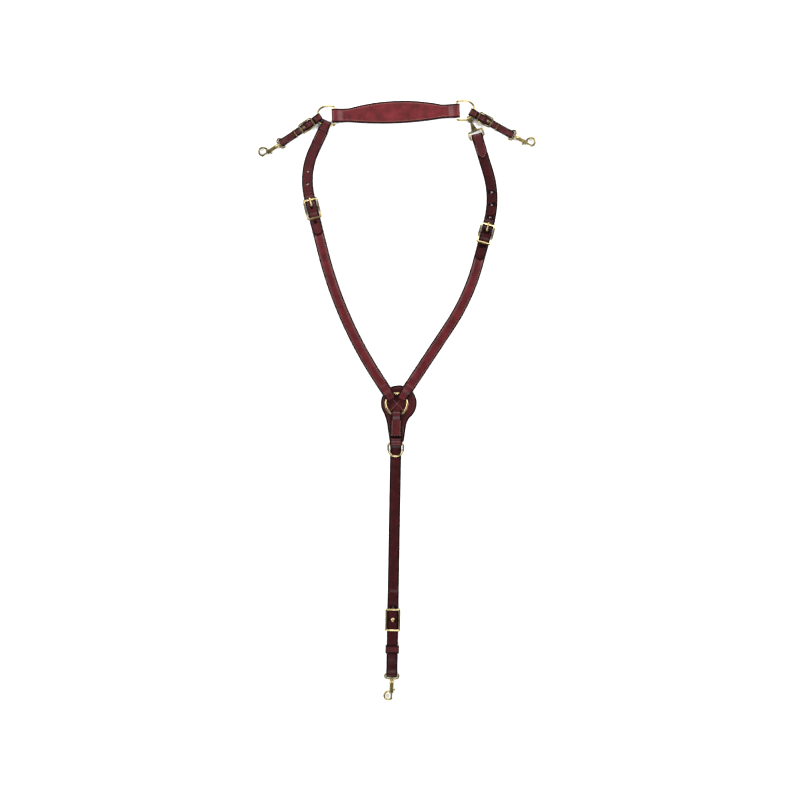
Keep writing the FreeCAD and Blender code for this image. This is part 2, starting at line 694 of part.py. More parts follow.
# ---- Shoulder and neck straps ----
def shoulder_parts(buckle_at, buckle_heading, ring_end, ring_heading):
    """Lining, face and raised band of a shoulder strap from its buckle to the ring."""
    start = V(buckle_at[0], buckle_at[1], 0)
    moves = corner_run(start, buckle_heading, SHOULDER_LEAD, ring_end, ring_heading, RING_LEAD)
    first = start + ahead(buckle_heading) * SHOULDER_LEAD
    back = ring_heading + 180
    drop = 2 * CHAPE_INNER - PLY_GAP
    path = [SHOULDER_TURN - SHOULDER_LEVEL - climb_run(drop, CHAPE_BEND)] + climb(-drop, CHAPE_BEND)
    path += [SHOULDER_LEVEL + SHOULDER_PLAY, (CHAPE_INNER, 180), SHOULDER_PLAY + SHOULDER_LEAD]
    chape = strip((SHOULDER_TURN, LINING_THICK + PLY_GAP), 180, path, -LINING_THICK, 0, STRAP_WIDTH)
    chape = chape.cut(strap_block(-SLOT_BEFORE, SLOT_AFTER, SLOT_WIDTH, -CUT, CUT))
    end = strap_block(LINING_STOP, RING_LEAD, STRAP_WIDTH, 0, LINING_THICK)
    lining = fuse([place(chape, start, buckle_heading),
                   ribbon(first, buckle_heading, moves, STRAP_WIDTH, 0, LINING_THICK),
                   place(end, ring_end, back)])
    low = LINING_THICK + PLY_GAP
    butt = strap_block(SHOULDER_TURN + PLY_GAP, SHOULDER_LEAD, STRAP_WIDTH, low, SHOULDER_TOP)
    on_safe = SAFE_THICK + SAFE_GAP + STRAP_THICK
    fall = on_safe + 2 * LOOP_INNER - low
    path = [RING_TURN + SKEW_PLAY, (LOOP_INNER, -180), SKEW_PLAY + RING_LEVEL]
    path += climb(-fall, BACK_BEND) + [RING_LEAD - RING_LEVEL - climb_run(fall, BACK_BEND)]
    turn = strip((RING_TURN, on_safe), 180, path, 0, STRAP_THICK, STRAP_WIDTH)
    face = fuse([place(butt, start, buckle_heading),
                 ribbon(first, buckle_heading, moves, STRAP_WIDTH, low, SHOULDER_TOP),
                 place(narrowed(turn, STRAP_WIDTH, TURN_WIDTH), ring_end, back)])
    band = ribbon(first, buckle_heading, moves, BAND_WIDTH, SHOULDER_TOP, SHOULDER_TOP + BAND_HEIGHT)
    return lining, face, band


def neck_strap(top, start, heading, buckle_at, buckle_heading, holes_from, holes):
    """Join a neck strap's turned end to its billet end, and punch its adjusting holes."""
    moves = corner_run(start, heading, NECK_LEAD, buckle_at, buckle_heading, BILLET_LEAD)
    middle = ribbon(start + ahead(heading) * NECK_LEAD, heading, moves, STRAP_WIDTH, 0, STRAP_THICK)
    strap = fuse([place(top, start, heading), middle,
                  place(neck_buckle_end(), buckle_at, buckle_heading)])
    last = V(buckle_at[0], buckle_at[1], 0)
    for step in range(holes):
        spot = back_along(last, buckle_heading, moves + [BILLET_LEAD], holes_from + step * HOLE_PITCH)
        strap = strap.cut(upright(spot, HOLE_DIAMETER))
    return strap


def make_left_neck_strap():
    """Neck strap that turns round the dee with its end underneath, and runs to its billet tip."""
    drop = 2 * LOOP_INNER - PLY_GAP
    settle = STRAP_THICK + PLY_GAP
    lap_end = NECK_LAP + UNDER_BAR
    moves = [NECK_LAP + NECK_PLAY, (LOOP_INNER, -180), NECK_PLAY + NECK_LEVEL] + climb(-drop)
    moves += [lap_end - NECK_LEVEL - climb_run(drop)] + climb(-settle)
    moves += [NECK_LEAD - lap_end - climb_run(settle)]
    top = strip((NECK_LAP, STRAP_THICK), 180, moves, 0, STRAP_THICK, STRAP_WIDTH)
    top = narrowed(top, STRAP_WIDTH, NECK_TURN_WIDTH)
    return neck_strap(top, LEFT_NECK_START, LEFT_NECK_HEADING, LEFT_BUCKLE_AT, LEFT_BUCKLE_HEADING,
                      LEFT_HOLES_FROM, LEFT_HOLES)


def make_right_neck_strap():
    """Neck strap that turns over the snap's eye, with a pointed end stitched on its front."""
    drop = 2 * NECK_EYE_INNER - PLY_GAP
    path = [RIGHT_TURN - RIGHT_LEVEL - climb_run(drop)] + climb(-drop)
    path += [RIGHT_LEVEL + NECK_EYE_PLAY, (NECK_EYE_INNER, 180), NECK_EYE_PLAY + NECK_LEAD]
    top = strip((RIGHT_TURN, STRAP_THICK + PLY_GAP), 180, path, -STRAP_THICK, 0, STRAP_WIDTH)
    half = STRAP_WIDTH / 2
    root = RIGHT_TURN - POINT_LENGTH
    for side in (1, -1):
        corner = [V(root, side * half, 0), V(RIGHT_TURN, side * POINT_WIDTH / 2, 0),
                  V(RIGHT_TURN, side * STRAP_WIDTH, 0), V(root, side * STRAP_WIDTH, 0),
                  V(root, side * half, 0)]
        waste = Part.Face(Part.makePolygon(corner)).extrude(UP * CUT)
        waste.translate(UP * (STRAP_THICK + PLY_GAP / 2))
        top = top.cut(waste)
    return neck_strap(top, NECK_EYE_AT, RIGHT_NECK_HEADING, RIGHT_BUCKLE_AT, RIGHT_BUCKLE_HEADING,
                      RIGHT_HOLES_FROM, RIGHT_HOLES)


def make_neck_buckle():
    """Buckle of a neck strap."""
    inside = STRAP_WIDTH + 2 * BUCKLE_SIDE_GAP
    return buckle(inside, BUCKLE_LENGTH, BUCKLE_RAIL, BUCKLE_BAR, BUCKLE_WIRE, BAR_Z, END_BAR_Z)


def make_neck_tongue():
    """Tongue of a neck buckle, pointing back along the billet."""
    rest = END_BAR_Z + BUCKLE_WIRE / 2 + TONGUE / 2 + TONGUE_REST
    return tongue(BUCKLE_BAR, TONGUE, BAR_Z, rest, BUCKLE_LENGTH / 2 + TONGUE_PAST)


# ---- Wither strap ----
def wither_outline(low, high):
    """Body of the wither strap between its leads, arched above and bowed below."""
    start = WITHER_LEAD
    stop = WITHER_LENGTH - WITHER_LEAD
    half = WITHER_END_WIDTH / 2
    middle = WITHER_LENGTH / 2
    top = Part.Arc(V(start, half, 0), V(middle, WITHER_TOP_RISE, 0), V(stop, half, 0))
    bottom = Part.Arc(V(stop, -half, 0), V(middle, -WITHER_BOTTOM_DROP, 0), V(start, -half, 0))
    wire = Part.Wire([top.toShape(), Part.makeLine(V(stop, half, 0), V(stop, -half, 0)),
                      bottom.toShape(), Part.makeLine(V(start, -half, 0), V(start, half, 0))])
    solid = Part.Face(wire).extrude(UP * (high - low))
    solid.translate(UP * low)
    return solid


def make_wither_face():
    """Front ply, which turns round both dee bars."""
    low = STRAP_THICK + PLY_GAP
    sink = WIRE_Z - BAR_INNER - STRAP_THICK
    fall = WIRE_Z + BAR_INNER - low
    path = [WITHER_TURN - climb_run(sink)] + climb(-sink) + [(BAR_INNER, -180), WITHER_LEVEL]
    path += climb(-fall) + [WITHER_LEAD - WITHER_LEVEL - climb_run(fall)]
    end = strip((WITHER_TURN, STRAP_THICK), 180, path, 0, STRAP_THICK, WITHER_END_WIDTH)
    face = fuse([end, wither_outline(low, low + STRAP_THICK), place(end, (WITHER_LENGTH, 0), 180)])
    return place(face, LEFT_DEE_AT, WITHER_HEADING)


def make_wither_lining():
    """Back ply, which butts between the turned ends of the face."""
    stop = WITHER_TURN + PLY_GAP
    ends = [strap_block(stop, WITHER_LEAD, WITHER_END_WIDTH, 0, STRAP_THICK),
            strap_block(WITHER_LENGTH - WITHER_LEAD, WITHER_LENGTH - stop, WITHER_END_WIDTH, 0,
                        STRAP_THICK)]
    return place(fuse([wither_outline(0, STRAP_THICK)] + ends), LEFT_DEE_AT, WITHER_HEADING)


# ---- Side straps, made along +X from the dee wire ----
def make_side_chape():
    """Closed loop of leather between the dee and the buckle's middle bar."""
    drop = 2 * LOOP_INNER - PLY_GAP
    rise = 2 * SIDE_CHAPE_INNER - PLY_GAP
    slack = SIDE_FOLD_INSIDE - LOOP_INNER - SIDE_THICK
    join = SIDE_BUCKLE_OFF / 2
    level = SIDE_BUCKLE_OFF - 2 * SIDE_LEVEL - climb_run(drop, TIGHT_BEND) - climb_run(rise, TIGHT_BEND)
    path = [join + slack, (LOOP_INNER, -180), slack + SIDE_LEVEL] + climb(-drop, TIGHT_BEND) + [level]
    path += climb(rise, TIGHT_BEND) + [SIDE_LEVEL + SIDE_PLAY, (SIDE_CHAPE_INNER, -180)]
    path += [SIDE_PLAY + SIDE_BUCKLE_OFF - join - 2 * PLY_GAP]
    chape = strip((join, SIDE_THICK), 180, path, 0, SIDE_THICK, SIDE_WIDTH)
    chape = chape.cut(strap_block(SIDE_BUCKLE_OFF - SIDE_SLOT_HALF, SIDE_BUCKLE_OFF + SIDE_SLOT_HALF,
                                  SIDE_SLOT, -CUT, CUT))
    return narrowed(chape, SIDE_WIDTH, SIDE_TURN_WIDTH, SIDE_TURN_BACK)


def make_side_billet():
    """Strap from its tip near the dee, through the buckle and keeper, round the snap's eye."""
    hump = SIDE_BILLET_HIGH - SIDE_BILLET_LOW
    side = climb_run(hump, CHAPE_BEND)
    bar = SIDE_BUCKLE_OFF
    path = [bar - SIDE_BEFORE_BAR - side - SIDE_TIP_OFF] + climb(hump, CHAPE_BEND)
    path += [SIDE_BEFORE_BAR + SIDE_AFTER_BAR] + climb(-hump, CHAPE_BEND)
    along = bar + SIDE_AFTER_BAR + side
    down = SIDE_BILLET_LOW - SIDE_THICK - PLY_GAP
    keep = bar + SIDE_BUCKLE_LENGTH / 2 - along
    path += [keep] + climb(-down, CHAPE_BEND)
    along += keep + climb_run(down, CHAPE_BEND)
    rise = 2 * EYE_INNER - PLY_GAP
    path += [SIDE_EYE_OFF - climb_run(rise) - along] + climb(rise)
    path += [EYE_PLAY, (EYE_INNER, -180), EYE_PLAY + SIDE_EYE_LAP]
    strap = strip((SIDE_TIP_OFF, SIDE_BILLET_LOW), 0, path, 0, SIDE_THICK, SIDE_WIDTH)
    strap = strap.cut(place(rounded_tip(-SIDE_TIP_OFF, SIDE_WIDTH), (0, 0), 180))
    return strap.cut(oval_hole(bar + SIDE_HOLE_AT, SIDE_HOLE_LENGTH, SIDE_HOLE))


def make_side_buckle():
    """Small double-bar buckle of a side strap."""
    frame = buckle(SIDE_WIDTH + 2 * BUCKLE_SIDE_GAP, SIDE_BUCKLE_LENGTH, SIDE_BUCKLE_RAIL,
                   SIDE_BUCKLE_BAR, SIDE_BUCKLE_WIRE, SIDE_BAR_Z, SIDE_END_BAR_Z)
    return place(frame, (SIDE_BUCKLE_OFF, 0), 0)


def make_side_tongue():
    """Tongue of a side buckle, pointing to the snap."""
    rest = SIDE_END_BAR_Z + SIDE_BUCKLE_WIRE / 2 + SIDE_TONGUE / 2 + TONGUE_REST
    arm = tongue(SIDE_BUCKLE_BAR, SIDE_TONGUE, SIDE_BAR_Z, rest, SIDE_BUCKLE_LENGTH / 2 + TONGUE_PAST)
    return place(arm, (SIDE_BUCKLE_OFF, 0), 180)


def make_side_keeper():
    """Thin wire keeper that slides on the billet and its turned end."""
    wide = SIDE_WIDTH / 2 + KEEPER_SIDE_PLAY + KEEPER_WIRE / 2
    low = SIDE_THICK + PLY_GAP - KEEPER_UNDER - KEEPER_WIRE / 2
    high = 2 * SIDE_THICK + PLY_GAP + KEEPER_OVER + KEEPER_WIRE / 2
    side = [(KEEPER_CORNER, 90), high - low - 2 * KEEPER_CORNER, (KEEPER_CORNER, 90)]
    half = wide - KEEPER_CORNER
    loop = stand(rod((0, low), 0, [half] + side + [2 * half] + side + [half], KEEPER_WIRE))
    loop.rotate(V(0, 0, 0), UP, 90)
    return place(loop, (SIDE_KEEPER_OFF, 0), 0)


# ---- Swivel bolt snap, made along +X from the bar of its eye, at height 0 ----
def snap_eye(strap_width):
    """Eye of a bolt snap with its swivel stud."""
    half = strap_width / 2 + EYE_SIDE_GAP + EYE_WIRE / 2
    near = EYE_NEAR_CORNER
    far = EYE_FAR_CORNER
    moves = [half - near, (near, -90), EYE_DEPTH - near - far, (far, -90), 2 * (half - far)]
    moves += [(far, -90), EYE_DEPTH - near - far, (near, -90), half - near]
    boss = Part.makeCone(EYE_WIRE / 2 + BOSS_SWELL, BOSS_END, BARREL_START - SWIVEL_GAP - EYE_DEPTH,
                         V(EYE_DEPTH, 0, 0), ALONG)
    stud_start = BARREL_START - STUD_START
    head_start = BARREL_START + STUD_HEAD_AT
    return fuse([rod((0, 0), 90, moves, EYE_WIRE), boss,
                 pin(stud_start, stud_start + STUD_REACH, STUD_DIAMETER),
                 pin(head_start, head_start + STUD_HEAD_THICK, STUD_HEAD)])


def snap_hook():
    """Barrel with the hook bent from its end, bored for the bolt and slotted for the knob."""
    taper_end = BARREL_START + BARREL_TAPER
    taper = Part.makeCone(BARREL_NECK, BARREL_DIAMETER / 2, BARREL_TAPER, V(BARREL_START, 0, 0), ALONG)
    centre = V(HOOK_CENTRE, -HOOK_OFFSET, 0)
    first = 180 - math.degrees(math.asin((HOOK_OFFSET - HOOK_ROOT) / HOOK_RADIUS))
    last = 360 + math.degrees(math.asin(HOOK_OFFSET / HOOK_RADIUS))
    bend = rod(centre + ahead(first) * HOOK_RADIUS, first + 90, [(HOOK_RADIUS, last - first)], HOOK_WIRE)
    body = fuse([taper, pin(taper_end, BARREL_END, BARREL_DIAMETER), bend,
                 pin(TIP_FACE, TIP_FACE + SEAT_LENGTH, SEAT_DIAMETER)])
    head_start = BARREL_START + STUD_HEAD_AT - SWIVEL_GAP
    head_end = BARREL_START + STUD_HEAD_AT + STUD_HEAD_THICK + SWIVEL_GAP
    body = body.cut(pin(BORE_START, TIP_FACE, BORE))
    body = body.cut(pin(head_start, head_end, STUD_HEAD + 2 * SWIVEL_GAP))
    body = body.cut(pin(BARREL_START - STUD_START, head_end, STUD_DIAMETER + 2 * SWIVEL_GAP))
    half = KNOB_SLOT / 2
    wide = KNOB_STEM / 2 + BORE - BOLT_DIAMETER
    return body.cut(block(KNOB_AT - wide - BOLT_TRAVEL, KNOB_AT + wide, 0, CUT, -half, half))


def snap_bolt():
    """Bolt with its thumb knob."""
    side = V(0, 1, 0)
    stem = Part.makeCylinder(KNOB_STEM / 2, KNOB_STEM_LENGTH, V(KNOB_AT, 0, 0), side)
    knob = Part.makeCylinder(KNOB_DIAMETER / 2, KNOB_HEIGHT,
                             V(KNOB_AT, BARREL_DIAMETER / 2 + KNOB_LIFT, 0), side)
    rims = [edge for edge in knob.Edges if edge.BoundBox.YLength < TINY]
    knob = knob.makeFillet(KNOB_ROUND, rims)
    return fuse([pin(BOLT_START, TIP_FACE - BOLT_SHORT, BOLT_DIAMETER), stem, knob])


def snap_spring():
    """Coil spring behind the bolt, of square wire in short straight facets."""
    outer = BOLT_DIAMETER / 2
    inner = outer - SPRING_WIRE
    first = BORE_START + SPRING_GAP
    length = BOLT_START - SPRING_GAP - SPRING_WIRE - first
    steps = SPRING_STEPS * SPRING_TURNS
    rings = []
    for step in range(steps + 1):
        angle = math.tau * step / SPRING_STEPS
        across = V(0, math.cos(angle), math.sin(angle))
        near = V(first + length * step / steps, 0, 0)
        far = near + ALONG * SPRING_WIRE
        rings.append([near + across * inner, near + across * outer,
                      far + across * outer, far + across * inner])
    faces = [Part.Face(Part.makePolygon(rings[0] + rings[0][:1])),
             Part.Face(Part.makePolygon(rings[-1] + rings[-1][:1]))]
    for one, two in zip(rings, rings[1:]):
        for side in range(4):
            a, b, c, d = one[side], one[(side + 1) % 4], two[(side + 1) % 4], two[side]
            faces.append(Part.Face(Part.makePolygon([a, b, c, a])))
            faces.append(Part.Face(Part.makePolygon([a, c, d, a])))
    solid = Part.Solid(Part.Shell(faces))
    if solid.Volume < 0:
        solid.reverse()
    return solid


# ---- Neck snap, made along +X from the dee wire, at height 0 ----
def section(x, width, low, high):
    """Upright rectangle across X."""
    half = width / 2
    return Part.makePolygon([V(x, -half, low), V(x, half, low), V(x, half, high), V(x, -half, high),
                             V(x, -half, low)])


def make_neck_snap_body():
    """Flat hook over the dee wire, a tapering shank, and the eye for the neck strap."""
    inner = SNAP_HOOK_INNER
    top = inner + SNAP_BAND_THICK
    moves = [SNAP_HOOK_RUN, (inner, 180), SNAP_HOOK_LIP]
    hook = strip((SNAP_HOOK_RUN, inner), 180, moves, -SNAP_BAND_THICK, 0, SNAP_BAND)
    front = SNAP_EYE_OFF - SNAP_EYE_LENGTH + SNAP_EYE_WIRE
    sections = [section(SHANK_ROOT[0], SHANK_ROOT[1], inner, top),
                section(SHANK_WAIST[0], SHANK_WAIST[1], LEAF_Z, top),
                section(SHANK_SWELL[0], SHANK_SWELL[1], LEAF_Z, SHANK_SWELL_TOP),
                section(front, SHANK_END_WIDTH, NECK_DROP - SHANK_END_HALF, NECK_DROP + SHANK_END_HALF)]
    half = (STRAP_WIDTH + SNAP_EYE_WIRE) / 2 + SNAP_EYE_SIDE_GAP
    near = SNAP_NEAR_CORNER
    far = SNAP_FAR_CORNER
    straight = SNAP_EYE_OFF - front - near - far
    moves = [half - near, (near, -90), straight, (far, -90), 2 * (half - far)]
    moves += [(far, -90), straight, (near, -90), half - near]
    loop = rod((front, 0), 90, moves, SNAP_EYE_WIRE)
    loop.translate(UP * NECK_DROP)
    return fuse([hook, Part.makeLoft(sections, True, True), loop])


def make_neck_snap_leaf():
    """Spring leaf that closes the hook from below, held by a rivet at the shank."""
    leaf = strap_block(LEAF_START, LEAF_END, LEAF_WIDTH, LEAF_Z - LEAF_THICK, LEAF_Z)
    return leaf.cut(upright((RIVET_AT, 0), RIVET_HOLE))


def make_neck_snap_rivet():
    """Round-headed rivet that holds the leaf to the shank."""
    low = LEAF_Z - LEAF_THICK - LEAF_GAP
    head = Part.makeCylinder(RIVET_HEAD / 2, RIVET_HEAD_THICK, V(RIVET_AT, 0, low - RIVET_HEAD_THICK))
    return head.fuse(Part.makeCylinder(RIVET_PIN / 2, LEAF_Z - low, V(RIVET_AT, 0, low)))


def add_snap(parts, name, strap_width, spot, heading, height, mirrored):
    """Add the four pieces of a bolt snap, bowed to the right, or to the left if mirrored."""
    for piece, shape in (("eye", snap_eye(strap_width)), ("hook", snap_hook()),
                         ("bolt", snap_bolt()), ("spring", snap_spring())):
        if mirrored:
            shape = shape.mirror(V(0, 0, 0), V(0, 1, 0))
        parts[name + "_" + piece] = place(shape, spot, heading, height)


def build_parts():
    """Every piece of the breastplate, by name."""
    parts = {"centre_safe": make_centre_safe(), "girth_strap": make_girth_strap(),
             "dee_chape": make_dee_chape(), "girth_buckle": make_girth_buckle(),
             "centre_ring": Part.makeTorus(RING_RADIUS, WIRE / 2, RING_CENTRE + UP * RING_Z),
             "martingale_dee": make_martingale_dee(), "girth_keeper": make_girth_keeper()}
    sides = (("left", LEFT_BUCKLE_AT, LEFT_BUCKLE_HEADING, LEFT_SHOULDER_END, LEFT_SHOULDER_HEADING),
             ("right", RIGHT_BUCKLE_AT, RIGHT_BUCKLE_HEADING, RIGHT_SHOULDER_END, RIGHT_SHOULDER_HEADING))
    for side, at, heading, ring_end, ring_heading in sides:
        lining, face, band = shoulder_parts(at, heading, ring_end, ring_heading)
        parts[side + "_shoulder_lining"] = lining
        parts[side + "_shoulder_face"] = face
        parts[side + "_shoulder_band"] = band
        parts[side + "_neck_buckle"] = place(make_neck_buckle(), at, heading)
        parts[side + "_neck_tongue"] = place(make_neck_tongue(), at, heading)
    parts["left_neck_strap"] = make_left_neck_strap()
    parts["right_neck_strap"] = make_right_neck_strap()
    big = dee(DEE_INNER_WIDTH, DEE_SIDE, WIRE, DEE_CORNER)
    parts["left_dee"] = place(big, LEFT_DEE_AT, WITHER_HEADING + 180, WIRE_Z)
    parts["right_dee"] = place(big, RIGHT_DEE_AT, WITHER_HEADING, WIRE_Z)
    parts["wither_strap_face"] = make_wither_face()
    parts["wither_strap_lining"] = make_wither_lining()
    for side, start, heading in (("left", LEFT_SIDE_START, LEFT_SIDE_HEADING),
                                 ("right", RIGHT_SIDE_START, RIGHT_SIDE_HEADING)):
        for name, shape in (("chape", make_side_chape()), ("billet", make_side_billet()),
                            ("buckle", make_side_buckle()), ("tongue", make_side_tongue()),
                            ("keeper", make_side_keeper())):
            parts[side + "_side_" + name] = place(shape, start, heading)
        eye_at = start + ahead(heading) * SIDE_EYE_OFF
        add_snap(parts, side + "_snap", SIDE_WIDTH, eye_at, heading, SIDE_EYE_Z, side == "right")
    add_snap(parts, "girth_snap", STRAP_WIDTH, at_girth(GIRTH_EYE_OFF), GIRTH_HEADING, GIRTH_EYE_Z, False)
    for name, shape in (("body", make_neck_snap_body()), ("leaf", make_neck_snap_leaf()),
                        ("rivet", make_neck_snap_rivet())):
        parts["neck_snap_" + name] = place(shape, NECK_SNAP_START, NECK_SNAP_HEADING, WIRE_Z)
    return parts


PARTS = build_parts()
outline = Part.makeCompound(list(PARTS.values())).optimalBoundingBox(True, False)
CENTRE_SHIFT = V(-outline.Center.x, -outline.Center.y, 0)
os.makedirs("parts", exist_ok=True)
for part_name, part_shape in PARTS.items():
    part_shape.translate(CENTRE_SHIFT)
    solids = part_shape.Solids
    if len(solids) != 1 or not part_shape.isValid():
        print("look at:", part_name, len(solids), "solids")
    solids[0].exportStep("parts/" + part_name + ".step")
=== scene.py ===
import json
import math
import bpy
import bmesh
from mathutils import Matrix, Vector


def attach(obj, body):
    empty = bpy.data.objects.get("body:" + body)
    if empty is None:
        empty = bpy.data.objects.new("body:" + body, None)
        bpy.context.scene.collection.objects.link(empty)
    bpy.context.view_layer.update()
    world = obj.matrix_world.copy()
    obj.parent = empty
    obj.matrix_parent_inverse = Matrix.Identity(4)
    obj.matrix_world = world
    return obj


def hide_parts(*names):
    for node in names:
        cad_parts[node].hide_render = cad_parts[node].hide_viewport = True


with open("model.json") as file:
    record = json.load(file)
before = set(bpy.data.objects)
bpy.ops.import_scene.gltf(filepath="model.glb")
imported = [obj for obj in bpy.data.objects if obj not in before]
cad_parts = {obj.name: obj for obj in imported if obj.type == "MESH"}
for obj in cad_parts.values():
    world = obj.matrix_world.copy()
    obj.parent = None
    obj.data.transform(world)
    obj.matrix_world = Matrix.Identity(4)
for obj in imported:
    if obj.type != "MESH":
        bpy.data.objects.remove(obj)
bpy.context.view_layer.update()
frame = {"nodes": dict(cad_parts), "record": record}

# ---- Wither strap ----
# Two plies of waxed bridle leather, arched over the withers, stitched together inside a creased
# border. The front ply turns round the bar of a dee at each end.


def add(tree, kind, settings, links):
    """Add one node, with its settings and what feeds each of its inputs."""
    node = tree.nodes.new(kind)
    for name, value in settings.items():
        setattr(node, name, value)
    for name, value in links.items():
        if isinstance(value, bpy.types.NodeSocket):
            tree.links.new(value, node.inputs[name])
        else:
            node.inputs[name].default_value = value
    return node


def linear(code):
    """Linear colour of an sRGB hex code."""
    parts = [int(code[k:k + 2], 16) / 255 for k in (1, 3, 5)]
    return tuple(p / 12.92 if p <= 0.04045 else ((p + 0.055) / 1.055) ** 2.4 for p in parts) + (1.0,)


def leather(name, dark, light, rim, rough):
    """Waxed leather: cloudy tone 18 mm across, grain of 0.7 mm, and dark burnished edges."""
    made = bpy.data.materials.new(name)
    made.use_nodes = True
    tree = made.node_tree
    tree.nodes.clear()
    # Object coordinates are in metres, so a scale is one over the real size.
    place = add(tree, "ShaderNodeTexCoord", {}, {})
    clouds = add(tree, "ShaderNodeTexNoise", {}, {"Vector": place.outputs["Object"], "Scale": 1 / 0.018,
                                                  "Detail": 6.0, "Roughness": 0.62})
    tone = add(tree, "ShaderNodeMapRange", {}, {0: clouds.outputs[0], 1: 0.34, 2: 0.70, 3: 0.0, 4: 1.0})
    body = add(tree, "ShaderNodeMix", {"data_type": "RGBA"}, {0: tone.outputs[0], 6: linear(dark),
                                                              7: linear(light)})
    # The attribute holds millimetres from the cut edge.
    edge = add(tree, "ShaderNodeAttribute", {"attribute_name": "rim"}, {})
    wander = add(tree, "ShaderNodeTexNoise", {}, {"Vector": place.outputs["Object"], "Scale": 1 / 0.006})
    near = add(tree, "ShaderNodeMath", {"operation": "MULTIPLY_ADD"},
               {0: wander.outputs[0], 1: 0.9, 2: edge.outputs["Fac"]})
    burn = add(tree, "ShaderNodeMapRange", {"interpolation_type": "SMOOTHSTEP"},
               {0: near.outputs[0], 1: 2.3, 2: 5.0, 3: 1.0, 4: 0.0})
    colour = add(tree, "ShaderNodeMix", {"data_type": "RGBA"}, {0: burn.outputs[0], 6: body.outputs[2],
                                                                7: linear(rim)})
    grain = add(tree, "ShaderNodeTexVoronoi", {}, {"Vector": place.outputs["Object"],
                                                   "Scale": 1 / 0.0007, "Randomness": 1.0})
    folds = add(tree, "ShaderNodeTexNoise", {}, {"Vector": place.outputs["Object"], "Scale": 1 / 0.004,
                                                 "Detail": 4.0})
    relief = add(tree, "ShaderNodeMath", {"operation": "MULTIPLY_ADD"},
                 {0: folds.outputs[0], 1: 1.6, 2: grain.outputs["Distance"]})
    bump = add(tree, "ShaderNodeBump", {}, {"Strength": 0.35, "Distance": 0.00012,
                                            "Height": relief.outputs[0]})
    shine = add(tree, "ShaderNodeMapRange", {}, {0: folds.outputs[0], 1: 0.3, 2: 0.7, 3: rough - 0.07,
                                                 4: rough + 0.07})
    gloss = add(tree, "ShaderNodeMapRange", {}, {0: burn.outputs[0], 1: 0.0, 2: 1.0, 3: 0.22, 4: 0.04})
    skin = add(tree, "ShaderNodeBsdfPrincipled", {},
               {"Base Color": colour.outputs[2], "Roughness": shine.outputs[0],
                "Normal": bump.outputs[0], "Specular IOR Level": gloss.outputs[0]})
    add(tree, "ShaderNodeOutputMaterial", {}, {"Surface": skin.outputs[0]})
    return made


def walk(start, heading, moves):
    """Points along straight runs (a length) and turns (a radius and degrees, left is plus)."""
    x, y = start
    spots = [(x, y, heading)]
    for move in moves:
        if isinstance(move, tuple):
            radius, degrees = move
            side = math.copysign(90, degrees)
            reach = math.radians(abs(degrees)) * radius
            steps = max(2, math.ceil(abs(degrees) / 12), math.ceil(reach / 6))
            for _ in range(steps):
                x += math.cos(math.radians(heading + side)) * radius
                y += math.sin(math.radians(heading + side)) * radius
                heading += degrees / steps
                x -= math.cos(math.radians(heading + side)) * radius
                y -= math.sin(math.radians(heading + side)) * radius
                spots.append((x, y, heading))
        else:
            steps = max(1, math.ceil(move / 5))
            for _ in range(steps):
                x += math.cos(math.radians(heading)) * move / steps
                y += math.sin(math.radians(heading)) * move / steps
                spots.append((x, y, heading))
    return spots


def measured(spots):
    """Add to each point how far along the path it lies."""
    far = [0.0]
    for one, two in zip(spots, spots[1:]):
        far.append(far[-1] + math.hypot(two[0] - one[0], two[1] - one[1]))
    return [(d,) + s for d, s in zip(far, spots)]


def along(path, off):
    """The point and heading at a distance along a measured path, straight on past its ends."""
    if off <= 0 or off >= path[-1][0]:
        d, x, y, heading = path[0] if off <= 0 else path[-1]
        step = math.radians(heading)
        return x + math.cos(step) * (off - d), y + math.sin(step) * (off - d), heading
    low, high = 0, len(path) - 1
    while high - low > 1:
        middle = (low + high) // 2
        if path[middle][0] <= off:
            low = middle
        else:
            high = middle
    one, two = path[low], path[high]
    share = (off - one[0]) / max(two[0] - one[0], 1e-9)
    return tuple(a + (b - a) * share for a, b in zip(one[1:], two[1:]))


def climb(height, radius=9.0):
    """Two equal bends that lift a level run by a height."""
    degrees = math.degrees(math.acos(1 - abs(height) / (2 * radius)))
    sense = math.copysign(1, height)
    return [(radius, sense * degrees), (radius, -sense * degrees)]


def climb_run(height, radius=9.0):
    """How far a climb runs along."""
    return 2 * radius * math.sin(math.acos(1 - abs(height) / (2 * radius)))


def smooth(share):
    """Ease from 0 to 1."""
    share = min(1.0, max(0.0, share))
    return share * share * (3 - 2 * share)


def cut_section(left, right, thick, rise):
    """Section across a strap: rounded edges, a creased line beside each, a band that stands up."""
    ring = []
    soft = thick * 0.42
    for edge, sense in ((right, -1), (left, 1)):
        half = []
        for step in range(7):
            turn = math.radians(-90 + 30 * step)
            half.append((edge - soft + soft * math.cos(turn), thick / 2 + thick / 2 * math.sin(turn), soft))
        fit = min(1.0, edge / 7.0)
        for inset, dip in ((1.8, 0.0), (2.2, 0.16), (2.5, 0.3), (2.8, 0.16), (3.2, 0.0)):
            half.append((edge - inset * fit, thick - dip * fit, inset))
        pad = edge - 3.9 * fit
        for inset, lift in ((0.0, 0.0), (0.6, 0.35), (1.2, 0.75), (2.0, 0.95), (3.2, 1.0)):
            half.append((pad - inset * fit, thick + rise * lift, 4.0 + inset))
        under = [(edge - inset * fit, dip * fit, inset)
                 for inset, dip in ((3.2, 0.0), (2.5, 0.2), (1.8, 0.0))]
        side = under + half
        ring += side if sense < 0 else side[::-1]
    count = len(ring) // 2
    return [(u if k >= count else -u, v, rim) for k, (u, v, rim) in enumerate(ring)]


def square_end(far, width):
    """End cut square, with its corners just taken off."""
    return width - 2.2 * max(0.0, 1 - far / 1.4) ** 2


